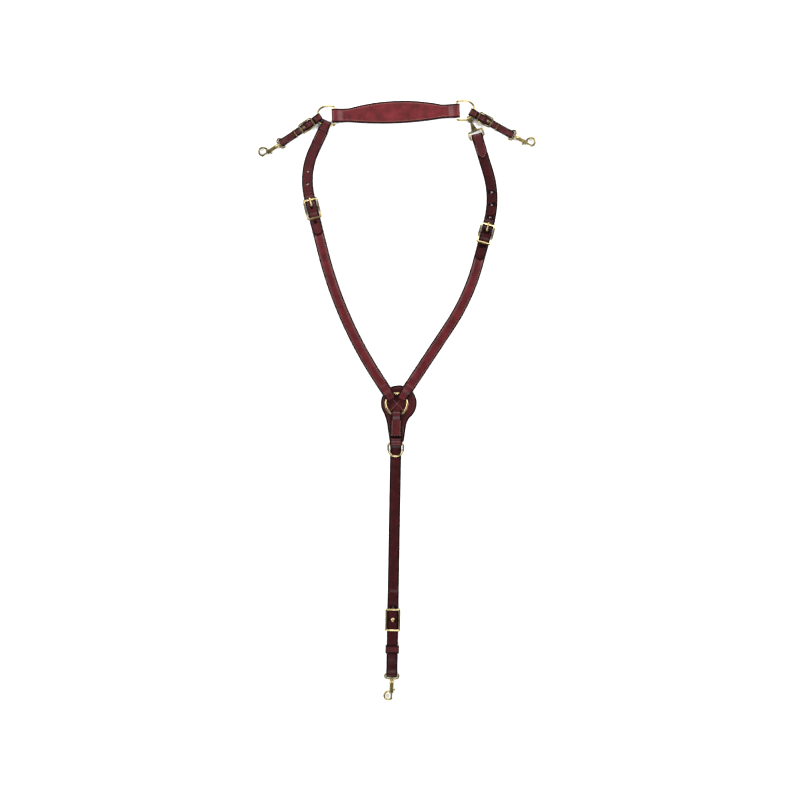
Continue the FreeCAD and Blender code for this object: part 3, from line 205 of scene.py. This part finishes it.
def round_end(far, width):
    """End cut to a half circle."""
    half = width / 2
    return 2 * math.sqrt(max(half ** 2 - max(0.0, half - far) ** 2, (0.06 * half) ** 2))


def point_end(far, width):
    """End cut to a blunt point."""
    return 3.6 + (width - 3.6) * min(1.0, far / 11.0)


def cut_strap(name, ground, start, heading, moves, side, thick, width, finish,
              ends=(square_end, square_end), narrow=None, edges=None, pad=None):
    """One ply along a ground path, bent along an edge-on path of distances and heights.

    The leather lies on the path's left (side 1) or right (side -1). narrow is its half width where
    it turns round metal, edges gives both half widths along it, and pad the height of its band.
    """
    line = measured(walk(start, heading, moves))
    total = line[-1][0]
    marks = [spot[0] for spot in line]
    for near in (0.12, 0.35, 0.7, 1.1, 1.6, 2.3, 3.2, 4.4, 6.0, 8.0, 10.0):
        marks += [near, total - near]
    marks = sorted(marks)
    marks = [m for k, m in enumerate(marks) if k == 0 or m - marks[k - 1] > 0.05]
    rings = []
    for mark in marks:
        off, height, tilt = along(line, mark)
        if edges:
            left, right = edges(off)
        else:
            left = right = width / 2
        if narrow:
            left = right = narrow + (width / 2 - narrow) * smooth(off / 14.0)
        whole = left + right
        share = min(ends[0](mark, whole), ends[1](total - mark, whole)) / whole
        left, right = left * share, right * share
        rim_end = min(mark, total - mark)
        squeeze = 0.5 + 0.5 * math.sin(math.radians(90 * min(1.0, rim_end / 1.2)))
        rise = pad(off) if pad else 0.0
        x, y, turn = along(ground, off)
        turn, tilt = math.radians(turn), math.radians(tilt)
        ahead = Vector((math.cos(turn), math.sin(turn), 0))
        across = Vector((-math.sin(turn), math.cos(turn), 0))
        normal = (ahead * -math.sin(tilt) + Vector((0, 0, 1)) * math.cos(tilt)) * side
        ring = []
        for u, v, rim in cut_section(left, right, thick, rise):
            v = thick / 2 + (v - thick / 2) * squeeze
            spot = Vector((x, y, height)) + across * u + normal * v
            ring.append((spot * 0.001, (mark * 0.001, u * 0.001), min(rim, rim_end + 0.3)))
        rings.append(ring)
    mesh = bpy.data.meshes.new(name)
    count = len(rings[0])
    faces = []
    for k in range(len(rings) - 1):
        for j in range(count):
            one, two = k * count, (k + 1) * count
            faces.append((one + j, one + (j + 1) % count, two + (j + 1) % count, two + j))
    faces += [tuple(range(count)), tuple((len(rings) - 1) * count + j for j in range(count))[::-1]]
    mesh.from_pydata([spot for ring in rings for spot, _, _ in ring], [], faces)
    flat = [entry for ring in rings for entry in ring]
    finish_mesh(mesh, [entry[2] for entry in flat], [entry[1] for entry in flat])
    made = bpy.data.objects.new(name, mesh)
    bpy.context.collection.objects.link(made)
    mesh.materials.append(finish)
    return made


def finish_mesh(mesh, rims, flats):
    """Store the edge distance and flat coordinates, face everything outward, and shade it smooth."""
    mesh.attributes.new("rim", "FLOAT", "POINT").data.foreach_set("value", rims)
    sheet = mesh.uv_layers.new(name="strap")
    for loop in mesh.loops:
        sheet.data[loop.index].uv = flats[loop.vertex_index]
    work = bmesh.new()
    work.from_mesh(mesh)
    bmesh.ops.recalc_face_normals(work, faces=work.faces)
    work.to_mesh(mesh)
    work.free()
    mesh.shade_smooth()
    mesh.set_sharp_from_angle(angle=math.radians(38))


thread_tree = bpy.data.node_groups.new("stitches", "GeometryNodeTree")
for socket, kind in (("Seam", "NodeSocketGeometry"), ("Pitch", "NodeSocketFloat"),
                     ("Stitch length", "NodeSocketFloat"), ("Thread", "NodeSocketFloat"),
                     ("Finish", "NodeSocketMaterial")):
    thread_tree.interface.new_socket(socket, in_out="INPUT", socket_type=kind)
thread_tree.interface.new_socket("Stitches", in_out="OUTPUT", socket_type="NodeSocketGeometry")
given = add(thread_tree, "NodeGroupInput", {}, {})
seam = add(thread_tree, "GeometryNodeMeshToCurve", {}, {0: given.outputs["Seam"]})
spaced = add(thread_tree, "GeometryNodeResampleCurve", {"mode": "LENGTH"},
             {"Curve": seam.outputs[0], "Length": given.outputs["Pitch"]})
bead = add(thread_tree, "GeometryNodeMeshUVSphere", {}, {"Segments": 6, "Rings": 4, "Radius": 0.5})
shape = add(thread_tree, "ShaderNodeCombineXYZ", {},
            {0: given.outputs["Stitch length"], 1: given.outputs["Thread"], 2: given.outputs["Thread"]})
tangent = add(thread_tree, "GeometryNodeInputTangent", {}, {})
facing = add(thread_tree, "FunctionNodeAlignRotationToVector", {"axis": "X"}, {"Vector": tangent.outputs[0]})
sewn = add(thread_tree, "GeometryNodeInstanceOnPoints", {},
           {"Points": spaced.outputs[0], "Instance": bead.outputs[0], "Rotation": facing.outputs[0],
            "Scale": shape.outputs[0]})
solid = add(thread_tree, "GeometryNodeRealizeInstances", {}, {0: sewn.outputs[0]})
threaded = add(thread_tree, "GeometryNodeSetMaterial", {}, {"Geometry": solid.outputs[0],
                                                            "Material": given.outputs["Finish"]})
add(thread_tree, "NodeGroupOutput", {}, {0: threaded.outputs[0]})


def sew(name, seams, gauge, finish):
    """Stitches along seams, each a list of points in millimetres, of one gauge."""
    pitch, length, thread = gauge
    mesh = bpy.data.meshes.new(name)
    spots, edges = [], []
    for points in seams:
        first = len(spots)
        spots += [(p[0] * 0.001, p[1] * 0.001, p[2] * 0.001) for p in points]
        edges += [(first + k, first + k + 1) for k in range(len(points) - 1)]
    mesh.from_pydata(spots, edges, [])
    made = bpy.data.objects.new(name, mesh)
    bpy.context.collection.objects.link(made)
    maker = made.modifiers.new("stitches", "NODES")
    maker.node_group = thread_tree
    sizes = {"Pitch": pitch * 0.001, "Stitch length": length * 0.001, "Thread": thread * 0.001,
             "Finish": finish}
    for item in thread_tree.interface.items_tree:
        if item.in_out == "INPUT" and item.name in sizes:
            maker[item.identifier] = sizes[item.name]
    made.update_tag()
    bpy.context.view_layer.update()
    ready = made.evaluated_get(bpy.context.evaluated_depsgraph_get())
    plain = bpy.data.meshes.new_from_object(ready)
    made.modifiers.clear()
    made.data = plain
    for face in plain.polygons:
        face.use_smooth = True
    return made


def on_top(ground, off, across, height):
    """Point beside a ground path."""
    x, y, turn = along(ground, off)
    turn = math.radians(turn)
    return x - math.sin(turn) * across, y + math.cos(turn) * across, height


def settle(piece, body, slot, *nodes):
    """Say what a piece rides on and hide the solids it stands for; slot is not used."""
    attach(piece, body)
    if nodes:
        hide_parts(*nodes)


wither_skin = leather("waxed wine-red bridle leather", "#39060a", "#581419", "#0b0001", 0.44)
lining_skin = leather("oiled flesh-side bridle leather", "#2c0505", "#3a0a0a", "#0e0101", 0.66)
thread_finish = bpy.data.materials.new("waxed brown nylon thread")
thread_finish.use_nodes = True
thread_shader = thread_finish.node_tree.nodes["Principled BSDF"]
thread_shader.inputs["Base Color"].default_value = linear("#8f6258")
thread_shader.inputs["Roughness"].default_value = 0.5

# Leather sizes, and for each gauge of stitching its pitch, stitch length and thread, in millimetres.
strap_width, strap_thick, lining_thick, chape_thick = 22.5, 3.0, 2.4, 2.0
coarse, medium, fine = (4.2, 3.4, 0.7), (4.0, 3.2, 0.65), (3.6, 2.8, 0.6)
wither_length, wither_end_width = 245.204, 28.0
wither_ground = measured(walk((-124.942, 568.233), 2.3373, [wither_length]))


def wither_edges(off):
    """Half widths to the left and right: 14 mm at the dees, bowed to 25 mm above and 20 mm below."""
    reach = min(92.602, abs(off - wither_length / 2))
    above = 25.0 - 395.3 + math.sqrt(395.3 ** 2 - reach ** 2)
    below = 20.0 - 717.6 + math.sqrt(717.6 ** 2 - reach ** 2)
    return above, below


wither_turn = [22.0 - climb_run(0.9)] + climb(-0.9) + [(2.6, -180), 1.0] + climb(-5.9, 18.0)
wither_back = climb(5.9, 18.0) + [1.0, (2.6, -180)] + climb(0.9) + [22.0 - climb_run(0.9)]
wither_flat = wither_length - 2 * (1.0 + climb_run(5.9, 18.0))
wither_face = cut_strap("wither-strap", wither_ground, (22.0, 3.0), 180,
                        wither_turn + [wither_flat] + wither_back, 1, strap_thick, wither_end_width,
                        wither_skin, edges=wither_edges)
wither_lining = cut_strap("wither-lining", wither_ground, (22.2, 0.0), 0, [200.8], 1, strap_thick,
                          wither_end_width, lining_skin, edges=wither_edges)
settle(wither_face, "wither", "wither_leather", "wither_strap_face")
settle(wither_lining, "wither", "lining_leather", "wither_strap_lining")
wither_seams = []
for sense in (1, -1):
    row = []
    for step in range(48):
        off = 14.0 + step * (wither_length - 28.0) / 47
        above, below = wither_edges(off)
        row.append(on_top(wither_ground, off, sense * ((above if sense > 0 else below) - 4.4), 6.2))
    wither_seams.append(row)
wither_thread = sew("wither-stitching", wither_seams, coarse, thread_finish)
settle(wither_thread, "wither", "wither_leather")

# ---- Shoulder straps ----
# Padded straps of dark oxblood bridle leather. The face is stitched to a lining over a raised core,
# turns round the centre ring, and butts against the chape that holds the buckle. The face takes a
# lighter copy of the leather: painted sheen on the raised pad.

burgundy = leather("dark oxblood bridle leather", "#2a0305", "#3c080c", "#0a0001", 0.42)
# The same oxblood leather made lighter for the padded faces: the extra lightness is painted sheen.
sheen_lit_pad_skin = leather("padded oxblood bridle leather", "#300508", "#4c1116", "#0a0001", 0.38)
ring_fall = 11.8
for side, ring_end, turn, curve, buckle_at, buckle_turn in (
        ("left", (-14.569, 8.474), 123.0, [(831.185, -19.0), 25.648], (-169.142, 382.033), 284.0),
        ("right", (12.685, 8.474), 56.5, [125.542, (419.948, 18.5)], (177.758, 332.833), 255.0)):
    ground = measured(walk(ring_end, turn, [44.0] + curve + [62.0]))
    middle = ground[-1][0] - 106.0
    moves = [12.4, (3.5, -180), 5.4] + climb(-ring_fall, 16.0) + [41.0 - climb_run(ring_fall, 16.0)]
    moves += [middle + 30.8]
    face = cut_strap(side + "-shoulder-strap", ground, (10.0, 7.4), 180, moves, 1, strap_thick,
                     strap_width, sheen_lit_pad_skin, narrow=9.8,
                     pad=lambda off: 1.6 * smooth((off - 34) / 14) * smooth((middle + 56 - off) / 14))
    settle(face, side + "_shoulder", "burgundy_leather", side + "_shoulder_face", side + "_shoulder_band")
    back = [(move[0], -move[1]) if isinstance(move, tuple) else move for move in curve[::-1]]
    lining_ground = measured(walk(buckle_at, buckle_turn, [62.0] + back + [44.0]))
    moves = [28.0 - climb_run(3.7, 5.0)] + climb(-3.7, 5.0) + [4.4, (1.95, 180), 63.4, middle, 19.0]
    lining = cut_strap(side + "-shoulder-lining", lining_ground, (31.0, 2.6), 180, moves, -1, lining_thick,
                       strap_width, burgundy)
    settle(lining, side + "_shoulder", "lining_leather", side + "_shoulder_lining")
    seams = []
    for across in (-7.9, 7.9):
        count = int((middle + 60) / 5)
        seams.append([on_top(ground, 30 + step * (middle + 40) / count, across, 5.65)
                      for step in range(count + 1)])
    sewing = sew(side + "-shoulder-stitching", seams, (4.2, 3.4, 0.65), thread_finish)
    settle(sewing, side + "_shoulder", "burgundy_leather")

# ---- Neck straps ----
# Single straps of smooth oxblood leather with punched adjusting holes. The left one turns round its
# dee with the end underneath; the right one turns over the snap's eye, its pointed end stitched down.


def beside(moves, shift):
    """The same path moved to its left by a shift."""
    return [(move[0] - math.copysign(shift, move[1]), move[1]) if isinstance(move, tuple) else move
            for move in moves]


def punch(piece, holes):
    """Punch round or oval holes, each x, y, heading, length and width in millimetres."""
    cutter = bpy.data.meshes.new("punch")
    work = bmesh.new()
    for x, y, turn, length, width in holes:
        made = bmesh.ops.create_cone(work, cap_ends=True, segments=28, radius1=width / 2, radius2=width / 2,
                                     depth=60)
        turn = math.radians(turn)
        for vert in made["verts"]:
            u = vert.co.x + math.copysign((length - width) / 2, vert.co.x) * (abs(vert.co.x) > 0.01)
            v = vert.co.y
            vert.co = Vector((x + u * math.cos(turn) - v * math.sin(turn),
                              y + u * math.sin(turn) + v * math.cos(turn), vert.co.z)) * 0.001
    work.to_mesh(cutter)
    work.free()
    tool = bpy.data.objects.new("punch", cutter)
    bpy.context.collection.objects.link(tool)
    cut = piece.modifiers.new("punch", "BOOLEAN")
    cut.operation = "DIFFERENCE"
    cut.solver = "EXACT"
    cut.object = tool
    bpy.context.view_layer.update()
    ready = piece.evaluated_get(bpy.context.evaluated_depsgraph_get())
    plain = bpy.data.meshes.new_from_object(ready)
    plain.set_sharp_from_angle(angle=math.radians(38))
    piece.modifiers.clear()
    piece.data = plain
    bpy.data.objects.remove(tool)


hole = 4.5
hump_run = climb_run(3.1, 8.0)
billet = [36.0 - 7.2 - hump_run - climb_run(5.8, 7.0) - 6.0] + climb(5.8, 7.0) + [6.0] + climb(3.1, 8.0)
billet += [11.7] + climb(-3.1, 8.0) + [54.0 - 4.5 - hump_run]

left_ground = measured(walk((-143.243, 548.287), 245.0, [53.493, (142.182, 39.0), 24.0]))
left_length = left_ground[-1][0]
left_moves = [40.5, (3.5, -180), 7.5] + climb(-6.8) + [35.0 - climb_run(6.8)] + climb(-3.2)
left_moves += [24.0 - climb_run(3.2), left_length - 98.0] + billet
left_neck = cut_strap("left-neck-strap", left_ground, (36.0, 3.0), 180, left_moves, 1, strap_thick,
                      strap_width, burgundy, ends=(square_end, round_end), narrow=9.4)
# Distances are from the strap's end back to each hole; the long hole lets the tongue through.
marks = [along(left_ground, left_length - off) + (hole, hole) for off in (-27.0, 51.0, 76.0)]
punch(left_neck, marks + [along(left_ground, left_length - 5.6) + (11.5, hole)])
settle(left_neck, "left_shoulder", "burgundy_leather", "left_neck_strap")

right_ground = measured(walk((160.877, 525.026), 287.0, [73.065, (179.862, -32.0), 24.0]))
right_length = right_ground[-1][0]
right_moves = [40.0 - climb_run(4.4)] + climb(-4.4) + [6.4, (2.3, 180), 64.4, right_length - 98.0]
right_moves += beside(billet, 3.0)
right_neck = cut_strap("right-neck-strap", right_ground, (44.0, 3.2), 180, right_moves, -1, strap_thick,
                       strap_width, burgundy, ends=(point_end, round_end))
marks = [along(right_ground, right_length - off) + (hole, hole) for off in (-27.0, 34.0, 59.0, 84.0)]
punch(right_neck, marks + [along(right_ground, right_length - 5.6) + (11.5, hole)])
settle(right_neck, "right_shoulder", "burgundy_leather", "right_neck_strap")
point = [on_top(right_ground, off, across, 6.25) for off, across in
         ((12, 8.2), (33, 8.2), (41, 1.0), (41, -1.0), (33, -8.2), (12, -8.2))]
left_rows = [[on_top(left_ground, off, across, 6.3) for off in range(12, 35, 2)] for across in (-8.2, 8.2)]
settle(sew("right-turn-back-stitching", [point], medium, thread_finish), "right_shoulder",
       "burgundy_leather")
settle(sew("left-turn-back-stitching", left_rows, medium, thread_finish), "left_shoulder",
       "burgundy_leather")

# ---- Centre safe ----
# A keyhole of thick leather behind the ring that keeps metal off the chest, creased round its
# edge, with stitched lines that cross behind the ring.


def keyhole():
    """Outline of the safe: a disc of 36 mm radius, and a tail that narrows from 40 mm to 30 mm."""
    centre, middle, low, disc, corner_radius = (3.658, -6.167), -0.6, -85.767, 36.0, 8.0
    spots = []
    right_join = math.degrees(math.asin((middle + 19.0 - centre[0]) / disc))
    left_join = math.degrees(math.asin((centre[0] - middle + 19.0) / disc))
    for step in range(61):
        turn = math.radians(-90 + right_join + 4 + step * (360 - right_join - left_join - 8) / 60)
        spots.append((centre[0] + disc * math.cos(turn), centre[1] + disc * math.sin(turn)))
    tail = [(middle - 20.0 + 5.0 * share / 12, -44.0 + (low + 52.0) * share / 12) for share in range(13)]
    spots += tail[1:]
    for corner, first in ((middle - 7.0, 180), (middle + 7.0, 270)):
        for step in range(9):
            turn = math.radians(first + step * 90 / 8)
            spots.append((corner + corner_radius * math.cos(turn),
                          low + corner_radius + corner_radius * math.sin(turn)))
    return spots + [(2 * middle - x, y) for x, y in tail[:0:-1]]


def eased(spots, rounds):
    """Ease an outline by averaging neighbours where it turns in."""
    for _ in range(rounds):
        count = len(spots)
        fresh = []
        for k in range(count):
            a, b, c = Vector(spots[k - 1]), Vector(spots[k]), Vector(spots[(k + 1) % count])
            inward = (b - a).cross(c - b) < 0
            fresh.append(tuple((a + 2 * b + c) / 4) if inward else tuple(b))
        spots = fresh
    return spots


outline = eased(keyhole(), 6)
rings = []
# How far in from the outline, how high, and the edge distance stored for the finish.
levels = [(0.9, 0.0, 0.9), (0.25, 0.35, 0.4), (0.0, 1.5, 0.0), (0.25, 2.65, 0.4), (0.9, 3.0, 0.9),
          (2.6, 3.0, 2.6), (3.0, 2.8, 3.0), (3.3, 2.72, 3.2), (3.6, 2.8, 3.6), (4.0, 3.0, 4.0),
          (7.0, 3.0, 7.0)]
for inset, height, rim in levels:
    ring = []
    for k, spot in enumerate(outline):
        before, after = Vector(outline[k - 1]), Vector(outline[(k + 1) % len(outline)])
        run = (after - before).normalized()
        ring.append(((spot[0] - run.y * inset) * 0.001, (spot[1] + run.x * inset) * 0.001, height * 0.001))
    rings.append((ring, rim))
safe_mesh = bpy.data.meshes.new("centre safe")
count = len(outline)
faces = [(k + j, k + (j + 1) % count, k + count + (j + 1) % count, k + count + j)
         for k in range(0, (len(rings) - 1) * count, count) for j in range(count)]
faces += [tuple(range(count))[::-1], tuple(range((len(rings) - 1) * count, len(rings) * count))]
safe_mesh.from_pydata([spot for ring, _ in rings for spot in ring], [], faces)
finish_mesh(safe_mesh, [rim for ring, rim in rings for _ in ring],
            [spot[:2] for ring, _ in rings for spot in ring])
safe = bpy.data.objects.new("centre-safe", safe_mesh)
bpy.context.collection.objects.link(safe)
safe_mesh.materials.append(burgundy)
settle(safe, "centre", "lining_leather", "centre_safe")
cross = [[(-14.0, -22.0, 3.02), (14.0, 8.0, 3.02)], [(14.0, -22.0, 3.02), (-14.0, 8.0, 3.02)],
         [(-9.0, -40.0, 3.02), (-16.0, -70.0, 3.02)], [(8.0, -40.0, 3.02), (15.0, -70.0, 3.02)]]
settle(sew("safe-stitching", cross, (3.6, 2.9, 0.7), thread_finish), "centre", "lining_leather")

# ---- Girth strap ----
# One oxblood strap: turned back over the ring under a chape for the martingale dee, and folded
# round the snap's eye, back under itself, to the stud of a Conway buckle.

# Distances along the strap, from the ring: the buckle's stud, the keeper's end and the snap's eye.
stud_at, keeper_end, eye_at = 410.0, 481.0, 519.0
girth_ground = measured(walk((-1.312, -28.963), 269.0, [540.0]))
ring_inner = 4.2
drop = 2 * ring_inner - 4.6
girth_moves = [44.0 - climb_run(drop)] + climb(-drop) + [1.2, (ring_inner, 180)]
run = 78.0 - 21.2 + 2.0
girth_moves += [run + 1.2] + climb(-3.0)
run += climb_run(3.0)
split = stud_at - 22.5 - 40.0
girth_moves += [split - run] + climb(3.2)
run = split + climb_run(3.2)
slope = climb_run(2.6, 45.0)
girth_moves += [stud_at - 18.5 - slope - run] + climb(2.6, 45.0)
girth_moves += [18.5 + keeper_end - stud_at] + climb(-2.6, 45.0)
run = keeper_end + slope
girth_moves += [eye_at - climb_run(4.0) - run] + climb(4.0) + [0.6, (5.1, -180), 0.6 + eye_at - run]
girth_moves += climb(-2.6, 45.0) + [keeper_end - stud_at + 8.0]
girth = cut_strap("girth-strap", girth_ground, (44.0, 10.6), 180, girth_moves, -1, strap_thick,
                  strap_width, burgundy, narrow=10.4)
punch(girth, [along(girth_ground, 385.0) + (hole, hole), along(girth_ground, stud_at) + (4.6, 4.6)])
settle(girth, "centre", "burgundy_leather", "girth_strap")
chape_moves = [42.0, (2.3, 180), 1.0] + climb(4.4, 5.0) + [4.0]
chape = cut_strap("dee-chape", girth_ground, (16.0, 8.2), 0, chape_moves, -1, chape_thick, 25.0, burgundy)
settle(chape, "centre", "burgundy_leather", "dee_chape")
rows = [[on_top(girth_ground, off, across, 13.75) for off in range(14, 42, 2)] for across in (-8.0, 8.0)]
rows.append([on_top(girth_ground, 41.0, across, 13.75) for across in (-8, -4, 0, 4, 8)])
settle(sew("girth-stitching", rows, medium, thread_finish), "centre", "burgundy_leather")

# ---- Girth keeper ----
# A loop of thin leather, butted and stitched underneath, that slides over both plies.

keeper_ground = measured(walk(along(girth_ground, 469.0)[:2], 359.0, [1.0]))
half_turn = [(1.2, 90), 4.9, (1.2, 90)]
keeper = cut_strap("girth-keeper", keeper_ground, (0.0, 2.0), 0,
                   [10.65] + half_turn + [21.3] + half_turn + [10.6], -1, chape_thick, 16.0, burgundy)
settle(keeper, "girth_loop_keeper", "burgundy_leather", "girth_keeper")

# ---- Side straps ----
# Short adjustable straps to the saddle. A closed chape joins the dee to a small double-bar buckle;
# the billet passes through it and a wire keeper, and turns back round the snap's eye.

side_width, tail_at, side_eye = 15.5, 41.0, 84.0
for side, start, turn in (("left", (-159.274, 562.222), 214.0), ("right", (153.969, 572.2), -29.0)):
    ground = measured(walk(start, turn, [100.0]))
    level = 23.0 - climb_run(6.8, 4.0) - climb_run(3.0, 4.0)
    moves = [16.4, (3.5, -180), 4.9] + climb(-6.8, 4.0) + [level] + climb(3.0, 4.0) + [1.8, (1.6, -180), 12.9]
    loop = cut_strap(side + "-side-chape", ground, (12.5, 2.4), 180, moves, 1, lining_thick, side_width,
                     burgundy)
    punch(loop, [along(ground, 25.0) + (18.0, 4.6)])
    settle(loop, side + "_side", "burgundy_leather", side + "_side_chape")
    rise_run = climb_run(3.0, 5.0)
    moves = [14.0 - rise_run] + climb(3.0, 5.0) + [8.5] + climb(-3.0, 5.0)
    moves += [tail_at - 31.5 - rise_run] + climb(-2.6, 5.0)
    run = tail_at + climb_run(2.6, 5.0)
    moves += [side_eye - climb_run(4.0) - run] + climb(4.0) + [0.6, (2.1, -180), 24.6]
    strap = cut_strap(side + "-side-billet", ground, (9.0, 5.2), 0, moves, 1, lining_thick, side_width,
                      burgundy, ends=(round_end, square_end))
    punch(strap, [along(ground, 29.6) + (9.5, 3.8)])
    settle(strap, side + "_side", "burgundy_leather", side + "_side_billet")
    rows = [[on_top(ground, off, across, 5.0) for off in range(62, 80, 2)] for across in (-5.4, 5.4)]
    settle(sew(side + "-side-stitching", rows, fine, thread_finish), side + "_side", "burgundy_leather")

# ---- Hardware ----
# Rings, dees, buckles and tongues of polished pale brass, snaps of yellower cast brass, and
# springs of bright steel wire.


def metal(name, colour, tarnish, rough, grain):
    """Polished metal with faint tarnish 9 mm across and hairline marks."""
    made = bpy.data.materials.new(name)
    made.use_nodes = True
    tree = made.node_tree
    tree.nodes.clear()
    place = add(tree, "ShaderNodeTexCoord", {}, {})
    clouds = add(tree, "ShaderNodeTexNoise", {}, {"Vector": place.outputs["Object"], "Scale": 1 / 0.009,
                                                  "Detail": 5.0})
    tone = add(tree, "ShaderNodeMapRange", {}, {0: clouds.outputs[0], 1: 0.4, 2: 0.75, 3: 0.0, 4: 1.0})
    body = add(tree, "ShaderNodeMix", {"data_type": "RGBA"}, {0: tone.outputs[0], 6: linear(colour),
                                                              7: linear(tarnish)})
    marks = add(tree, "ShaderNodeTexNoise", {}, {"Vector": place.outputs["Object"], "Scale": 1 / grain,
                                                 "Detail": 3.0})
    shine = add(tree, "ShaderNodeMapRange", {}, {0: marks.outputs[0], 1: 0.3, 2: 0.7, 3: rough - 0.05,
                                                 4: rough + 0.08})
    bump = add(tree, "ShaderNodeBump", {},
               {"Strength": 0.15, "Distance": 0.00008, "Height": marks.outputs[0]})
    skin = add(tree, "ShaderNodeBsdfPrincipled", {},
               {"Base Color": body.outputs[2], "Metallic": 1.0, "Roughness": shine.outputs[0],
                "Normal": bump.outputs[0]})
    add(tree, "ShaderNodeOutputMaterial", {}, {"Surface": skin.outputs[0]})
    return made


metals = {"pale_brass": metal("polished pale brass", "#a5966e", "#5f5330", 0.24, 0.0012),
          "snap_brass": metal("cast yellow brass", "#8f8259", "#453d22", 0.28, 0.0006),
          "spring_steel": metal("bright spring steel", "#b9b8b4", "#8c8a86", 0.25, 0.0008)}
for entry in frame["record"]["subparts"]:
    if entry["material_slot"] in metals:
        node = frame["nodes"][entry["node"]]
        node.data.materials.clear()
        node.data.materials.append(metals[entry["material_slot"]])

# ---- Studio ----
# A plain white sheet seen from straight above under large soft lamps.

floor_mesh = bpy.data.meshes.new("floor")
corners = [(x, y, -0.0005) for x, y in ((-6, -6), (6, -6), (6, 6), (-6, 6))]
floor_mesh.from_pydata(corners, [], [(0, 1, 2, 3)])
floor = bpy.data.objects.new("floor", floor_mesh)
bpy.context.collection.objects.link(floor)
paper = bpy.data.materials.new("white paper")
paper.use_nodes = True
paper.node_tree.nodes["Principled BSDF"].inputs["Base Color"].default_value = linear("#fafafa")
paper.node_tree.nodes["Principled BSDF"].inputs["Roughness"].default_value = 0.9
floor_mesh.materials.append(paper)

lamps = (("left lamp", (-2.4, 0.7, 2.2), 1.6, 125), ("right lamp", (2.4, 0.9, 2.2), 1.6, 112),
         ("far lamp", (0.2, 2.8, 2.3), 1.6, 100), ("near lamp", (-0.3, -2.8, 2.3), 1.6, 96))
for name, spot, size, power in lamps:
    lamp = bpy.data.lights.new(name, "AREA")
    lamp.size = size
    lamp.energy = power
    holder = bpy.data.objects.new(name, lamp)
    holder.location = spot
    holder.rotation_euler = (-Vector(spot)).to_track_quat("-Z", "Y").to_euler()
    bpy.context.collection.objects.link(holder)
world = bpy.data.worlds.new("soft room")
world.use_nodes = True
world.node_tree.nodes["Background"].inputs["Color"].default_value = linear("#ffffff")
world.node_tree.nodes["Background"].inputs["Strength"].default_value = 0.28
bpy.context.scene.world = world

view = bpy.data.cameras.new("camera")
view.lens = 135
view.dof.use_dof = False
eye = bpy.data.objects.new("camera", view)
eye.location = (0.00606, 0.00023, 6.0)
bpy.context.collection.objects.link(eye)
bpy.context.scene.camera = eye
bpy.context.scene.view_settings.view_transform = "Standard"
